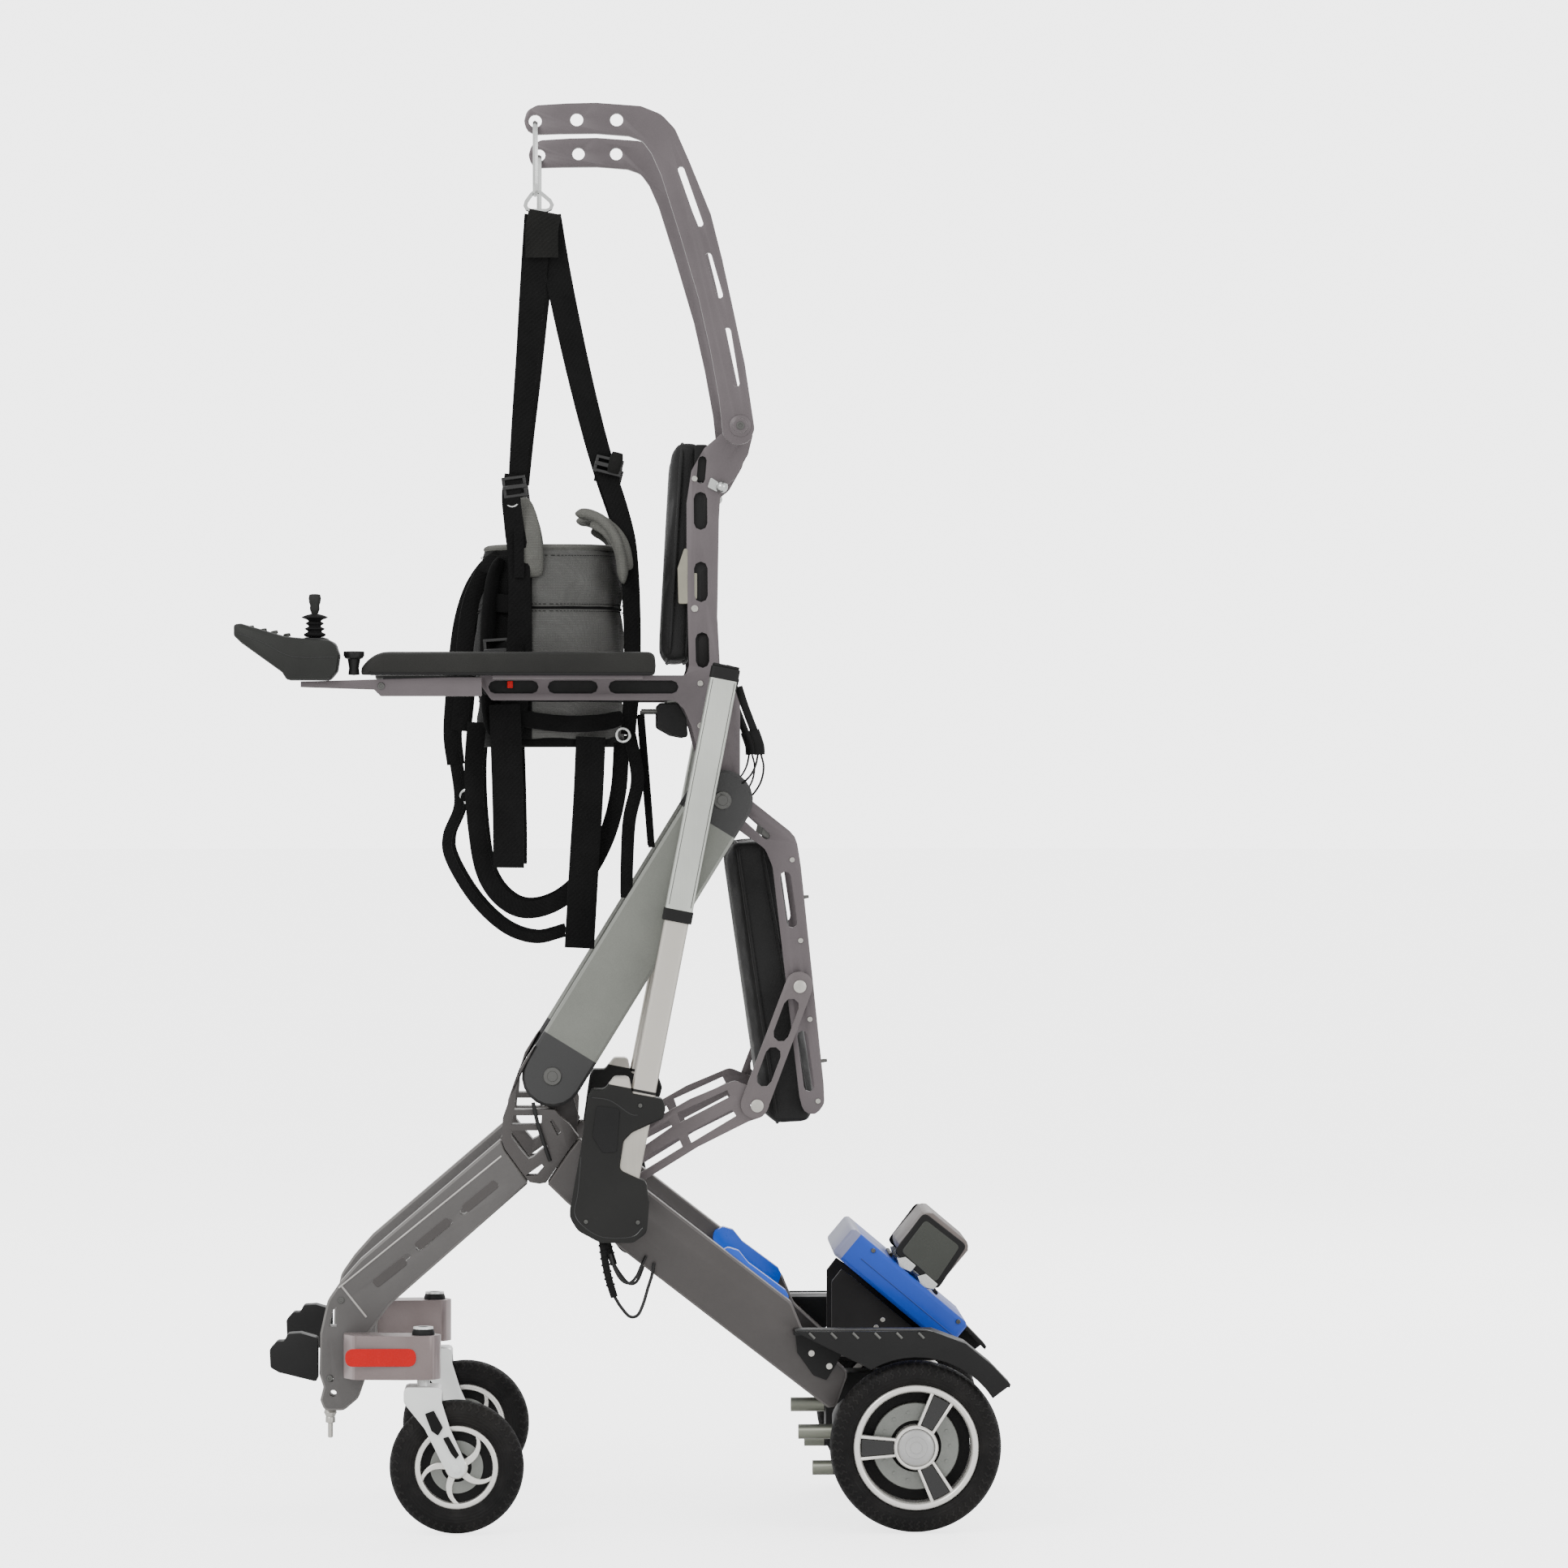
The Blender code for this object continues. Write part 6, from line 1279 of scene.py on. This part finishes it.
# ---- front end -----------------------------------------------------------------------------------------------------
for s, tag in SIDES:
    y = s * 0.2969
    bm = bmesh.new()
    pts = [(-0.3857, 0.2609), (-0.2874, 0.2609), (-0.2874, 0.2361), (-0.3857, 0.2361)]
    prism(bm, rounded(pts, 0.0115, 8), y - s * 0.0004, y + s * 0.0022)
    made("reflector_" + tag, bm, RED, "base", bevel=0.0010, seg=3)
    bm = bmesh.new()
    lathe(bm, [(0, 0.0110), (0.0090, 0.0104), (0.0142, 0.0075), (0.0158, 0.0028), (0.0160, -0.0010), (0, -0.0010)], (-0.2781, s * 0.270, 0.2785), "Z", 36)
    made("swivel_cap_" + tag, bm, BLACK, "caster_swivel_" + tag, angle=60)
    bm = bmesh.new()
    for o4 in ([(-0.2749, 0.1709), (-0.2625, 0.1754), (-0.2500, 0.1517), (-0.2568, 0.1404), (-0.2659, 0.1471)], [(-0.2500, 0.1370), (-0.2421, 0.1392), (-0.2275, 0.1133), (-0.2320, 0.1076), (-0.2387, 0.1155)]):
        prism(bm, rounded(o4, 0.0014), s * 0.3022, s * 0.3034)
    made("fork_slots_" + tag, bm, RIM_DARK, "caster_swivel_" + tag, bevel=0.0003)
    # pressed slots of the leg, drawn as raised strips in a darker paint as painted shade of the pressings, with a
    # painted highlight along the fold of the leg
    bm = bmesh.new()
    for a, b in (([(-0.2222, 0.4495), (-0.1767, 0.4870)]), ([(-0.2883, 0.3971), (-0.2427, 0.4347)]), ([(-0.3475, 0.3447), (-0.3042, 0.3789)])):
        d = Vector((b[0] - a[0], b[1] - a[1])).normalized()
        n = Vector((-d.y, d.x)) * 0.0065
        prism(bm, rounded([(a[0] - n.x, a[1] - n.y), (b[0] - n.x, b[1] - n.y), (b[0] + n.x, b[1] + n.y), (a[0] + n.x, a[1] + n.y)], 0.005, 5), s * 0.2346, s * 0.2356)
    made("leg_pressings_" + tag, bm, RAIL, "base", bevel=0.0004)
    # painted highlight: a light line along the fold of the leg
    bm = bmesh.new()
    for a in ([(-0.3976, 0.3402), (-0.1699, 0.5246)],):
        tube(bm, [Vector((a[0][0], s * 0.2352, a[0][1])), Vector((a[1][0], s * 0.2352, a[1][1]))], 0.0014, 8)
    for a in ([(-0.3941, 0.3436), (-0.3589, 0.2992)],):
        tube(bm, [Vector((a[0][0], s * 0.2352, a[0][1])), Vector((a[1][0], s * 0.2352, a[1][1]))], 0.0016, 8)
    made("leg_fold_line_" + tag, bm, LEG_FOLD_HIGHLIGHT, "base")
    pins = [(-0.4101, 0.2138), (-0.3941, 0.3231), (-0.3543, 0.3117)]
    for k, (px, pz) in enumerate(pins[:2]):
        screw("leg_screw_%d_%s" % (k, tag), px, pz, s * 0.2348, s, 0.0046, "base", mat=DARK_STEEL)
    cx, cz = [(-0.4101, 0.1649), (-0.4101, 0.1284)][0]
    top, bottom = cz + 0.005, [(-0.4101, 0.1284), (-0.4101, 0.1284)][0][1]
    bm = bmesh.new()
    lathe(bm, [(0, 0.0), (0.0070, 0.0), (0.0092, -0.0060), (0.0062, -0.0120), (0.0068, -0.0130), (0.0068, -0.0200), (0.0036, -0.0210), (0.0036, bottom - top + 0.001), (0.0020, bottom - top), (0, bottom - top)], (cx, s * 0.2150, top), "Z", 24)
    made("jack_stud_" + tag, bm, ZINC, "base")

# ---- drive end --------------------------------------------------------------------------------------------------------
for s, tag in SIDES:
    bm = bmesh.new()
    for k in range(6):
        a, b = [(0.2595, 0.2814), (0.2674, 0.2735)]
        dx = 0.0305 * k
        tube(bm, [Vector((a[0] + dx, s * 0.2975, a[1])), Vector((b[0] + dx, s * 0.2975, b[1]))], 0.0022, 8)
    made("fender_notches_" + tag, bm, DARK_STEEL, "base")
    for k, (px, pz) in enumerate([(0.2629, 0.2531), (0.2877, 0.2350)]):
        screw("fender_screw_%d_%s" % (k, tag), px, pz, s * 0.2978, s, 0.0044, "base")
    bm = bmesh.new()
    edge = [(0.2414, 0.2848), (0.3872, 0.2848), (0.4324, 0.2814), (0.4776, 0.2576), (0.5137, 0.2260), (0.5374, 0.2102)]
    tube(bm, smooth_path([Vector((x, s * 0.2960, z)) for x, z in edge], 8), 0.0016, 8)
    made("fender_rolled_edge_" + tag, bm, BLACK_GLOSS, "base")
C40, S40 = math.cos(math.radians(40)), math.sin(math.radians(40))


def tilted(cx, cz, u, v):
    """Point u along a 40-degree slope falling to the rear and v up from it."""
    return (cx + u * C40 + v * S40, cz - u * S40 + v * C40)


for s, tag in SIDES:
    frame_px = [(0.4307, 0.4342), (0.4920, 0.3862), (0.4492, 0.3219), (0.3872, 0.3775)]
    mid = (sum(p[0] for p in frame_px) / 4, sum(p[1] for p in frame_px) / 4)
    outer_f = rounded(frame_px, 0.009, 5)
    bm = bmesh.new()
    prism(bm, outer_f, s * 0.0975, s * 0.1010)
    made("control_bezel_" + tag, bm, BLACK, "base", bevel=0.0012)
    inner_f = rounded([(mid[0] + (p[0] - mid[0]) * 0.80, mid[1] + (p[1] - mid[1]) * 0.80) for p in frame_px], 0.006, 5)
    bm = bmesh.new()
    prism(bm, inner_f, s * 0.1004, s * 0.1018)
    made("control_panel_" + tag, bm, PANEL, "base", bevel=0.0008)
    for k, o4 in enumerate(([(0.3912, 0.3684), (0.4039, 0.3707), (0.4190, 0.3580), (0.4109, 0.3487), (0.3947, 0.3557)], [(0.4201, 0.3429), (0.4329, 0.3464), (0.4502, 0.3314), (0.4433, 0.3233), (0.4259, 0.3279)])):
        bm = bmesh.new()
        prism(bm, rounded(o4, 0.0016), s * 0.0990, s * 0.1040)
        made("latch_%d_%s" % (k, tag), bm, CHROME, "base", bevel=0.001)
    # seam of the battery lid and its screws
    bm = bmesh.new()
    p, q = [(0.3426, 0.3349), (0.4880, 0.2449)]
    p, q = tilted(0.397, 0.327, -0.072, -0.004), tilted(0.397, 0.327, 0.100, -0.004)
    tube(bm, [Vector((p[0], s * 0.1262, p[1])), Vector((q[0], s * 0.1262, q[1]))], 0.0008, 6)
    made("battery_seam_" + tag, bm, BLUE_DARK, "base")
    for k, u in enumerate((-0.066, 0.092)):
        px, pz = tilted(0.397, 0.327, u, 0.016)
        screw("battery_screw_%d_%s" % (k, tag), px, pz, s * 0.1258, s, 0.0034, "base", mat=DARK_STEEL)
    for k, (px, pz) in enumerate([(0.3669, 0.2898), (0.3577, 0.2795), (0.3865, 0.2755)]):
        screw("chassis_screw_%d_%s" % (k, tag), px, pz, s * 0.1948, s, 0.0034, "base")
# carrying strap over the battery, drawn as two black ribs across the case
bm = bmesh.new()
for u in (-0.035, 0.050):
    p, q = tilted(0.397, 0.327, u, 0.0238), tilted(0.397, 0.327, u + 0.012, 0.0238)
    tube(bm, [Vector((p[0], -0.045, p[1] + 0.0005)), Vector((p[0], 0.045, p[1] + 0.0005))], 0.0030, 10)
made("battery_ribs", bm, BLACK, "base")

# pins of the swing arm and of the column cover
for s, tag in SIDES:
    for k, (px, pz, body) in enumerate(((-0.0984, 0.6362, "swing_arm"), (0.1402, 1.0231, "swing_arm"))):
        bm = bmesh.new()
        lathe(bm, [(0, s * 0.0030), (0.0070, s * 0.0030), (0.0074, s * 0.0020), (0.0120, s * 0.0020), (0.0130, s * 0.0010), (0.0130, 0), (0, 0)], (px, s * 0.2350, pz), "Y", 30)
        made("arm_pin_%d_%s" % (k, tag), bm, DARK_STEEL, body)
    bm = bmesh.new()
    tube(bm, smooth_path([Vector(p) for p in mirrored([(-0.1255, -0.2380, 0.5999), (-0.1186, -0.2400, 0.5693), (-0.1095, -0.2400, 0.5408), (-0.1016, -0.2360, 0.5178)], s)], 6), 0.0028, 10)
    made("column_cable_" + tag, bm, CABLE, "base")
# ---- floor, light ---------------------------------------------------------------------------------------
fbm = bmesh.new()
bmesh.ops.create_circle(fbm, cap_ends=True, segments=96, radius=60)
fme = bpy.data.meshes.new("floor")
fbm.to_mesh(fme)
fbm.free()
floor = bpy.data.objects.new("floor", fme)
SCENE.collection.objects.link(floor)
floor.location = (0, 0, -0.0006)
fs = Surface("floor_pale", 0.7, 0.0, spec=0.2)
fs.colour(fs.mix(fs.remap(fs.noise(0.8, 3), 0.3, 0.7), (0.86, 0.86, 0.86), (0.90, 0.90, 0.895)))
fme.materials.append(fs.mat)


def camera_gain(tree, extra, base):
    """A strength of base that is extra higher for the camera alone, so the backdrop reads white and lights nothing more."""
    seen, gain = tree.nodes.new("ShaderNodeLightPath"), tree.nodes.new("ShaderNodeMath")
    gain.operation = "MULTIPLY_ADD"
    gain.inputs[1].default_value, gain.inputs[2].default_value = extra, base
    tree.links.new(seen.outputs["Is Camera Ray"], gain.inputs[0])
    return gain.outputs[0]


pale = fs.mat.node_tree.nodes["Principled BSDF"]
pale.inputs["Emission Color"].default_value = (1.0, 1.0, 1.0, 1)
fs.mat.node_tree.links.new(camera_gain(fs.mat.node_tree, 2.5, 0.0), pale.inputs["Emission Strength"])
fs.mat.cycles.emission_sampling = "NONE"

# matt finishes throw back little of the white room; gloss ones a bit more
for m_, spec in (
    (BLACK, 0.16), (BLACK_GLOSS, 0.35), (STICK, 0.2), (MOTOR, 0.16), (HOUSING, 0.18), (RIM_DARK, 0.1), (RUBBER, 0.12), (WEB, 0.06),
    (WEB2, 0.08), (VEST, 0.08), (PAD_GREY, 0.08), (BINDING, 0.06), (SEAT_SKIN, 0.2), (ARM_SKIN, 0.18), (CABLE, 0.3), (CHASSIS, 0.16),
    (MOTOR_SKIN, 0.14), (DRIVE_TYRE, 0.12), (CASTER_TYRE, 0.12), (PANEL, 0.3), (BLUE, 0.25), (CASE, 0.25), (RED, 0.14), (SHELL, 0.2),
):
    shader = m_.node_tree.nodes["Principled BSDF"]
    shader.inputs["Specular IOR Level"].default_value = spec
    shader.inputs["Sheen Weight"].default_value = min(shader.inputs["Sheen Weight"].default_value, 0.03)
    if m_ not in (BLACK_GLOSS, RED, BLUE, PANEL):
        shader.inputs["Coat Weight"].default_value = min(shader.inputs["Coat Weight"].default_value, 0.05)

world = bpy.data.worlds.new("studio")
SCENE.world = world
world.use_nodes = True
world.node_tree.nodes["Background"].inputs[0].default_value = (1.0, 1.0, 1.0, 1)
world.node_tree.links.new(camera_gain(world.node_tree, 2.6, 1.55), world.node_tree.nodes["Background"].inputs[1])


def area(name, at, look, size, power):
    d = bpy.data.lights.new(name, "AREA")
    d.shape, d.size, d.size_y, d.energy = "RECTANGLE", size[0], size[1], power
    o = bpy.data.objects.new(name, d)
    SCENE.collection.objects.link(o)
    o.location = at
    o.rotation_euler = (Vector(look) - Vector(at)).to_track_quat("-Z", "Y").to_euler()
    return o


area("key", (-3.2, -4.5, 4.2), (0, 0, 0.9), (2.4, 2.4), 170)
area("fill", (3.8, -4.0, 2.2), (0, 0, 0.9), (2.4, 2.4), 60)
area("back", (1.5, 4.5, 3.6), (0, 0, 1.1), (2.6, 2.0), 110)
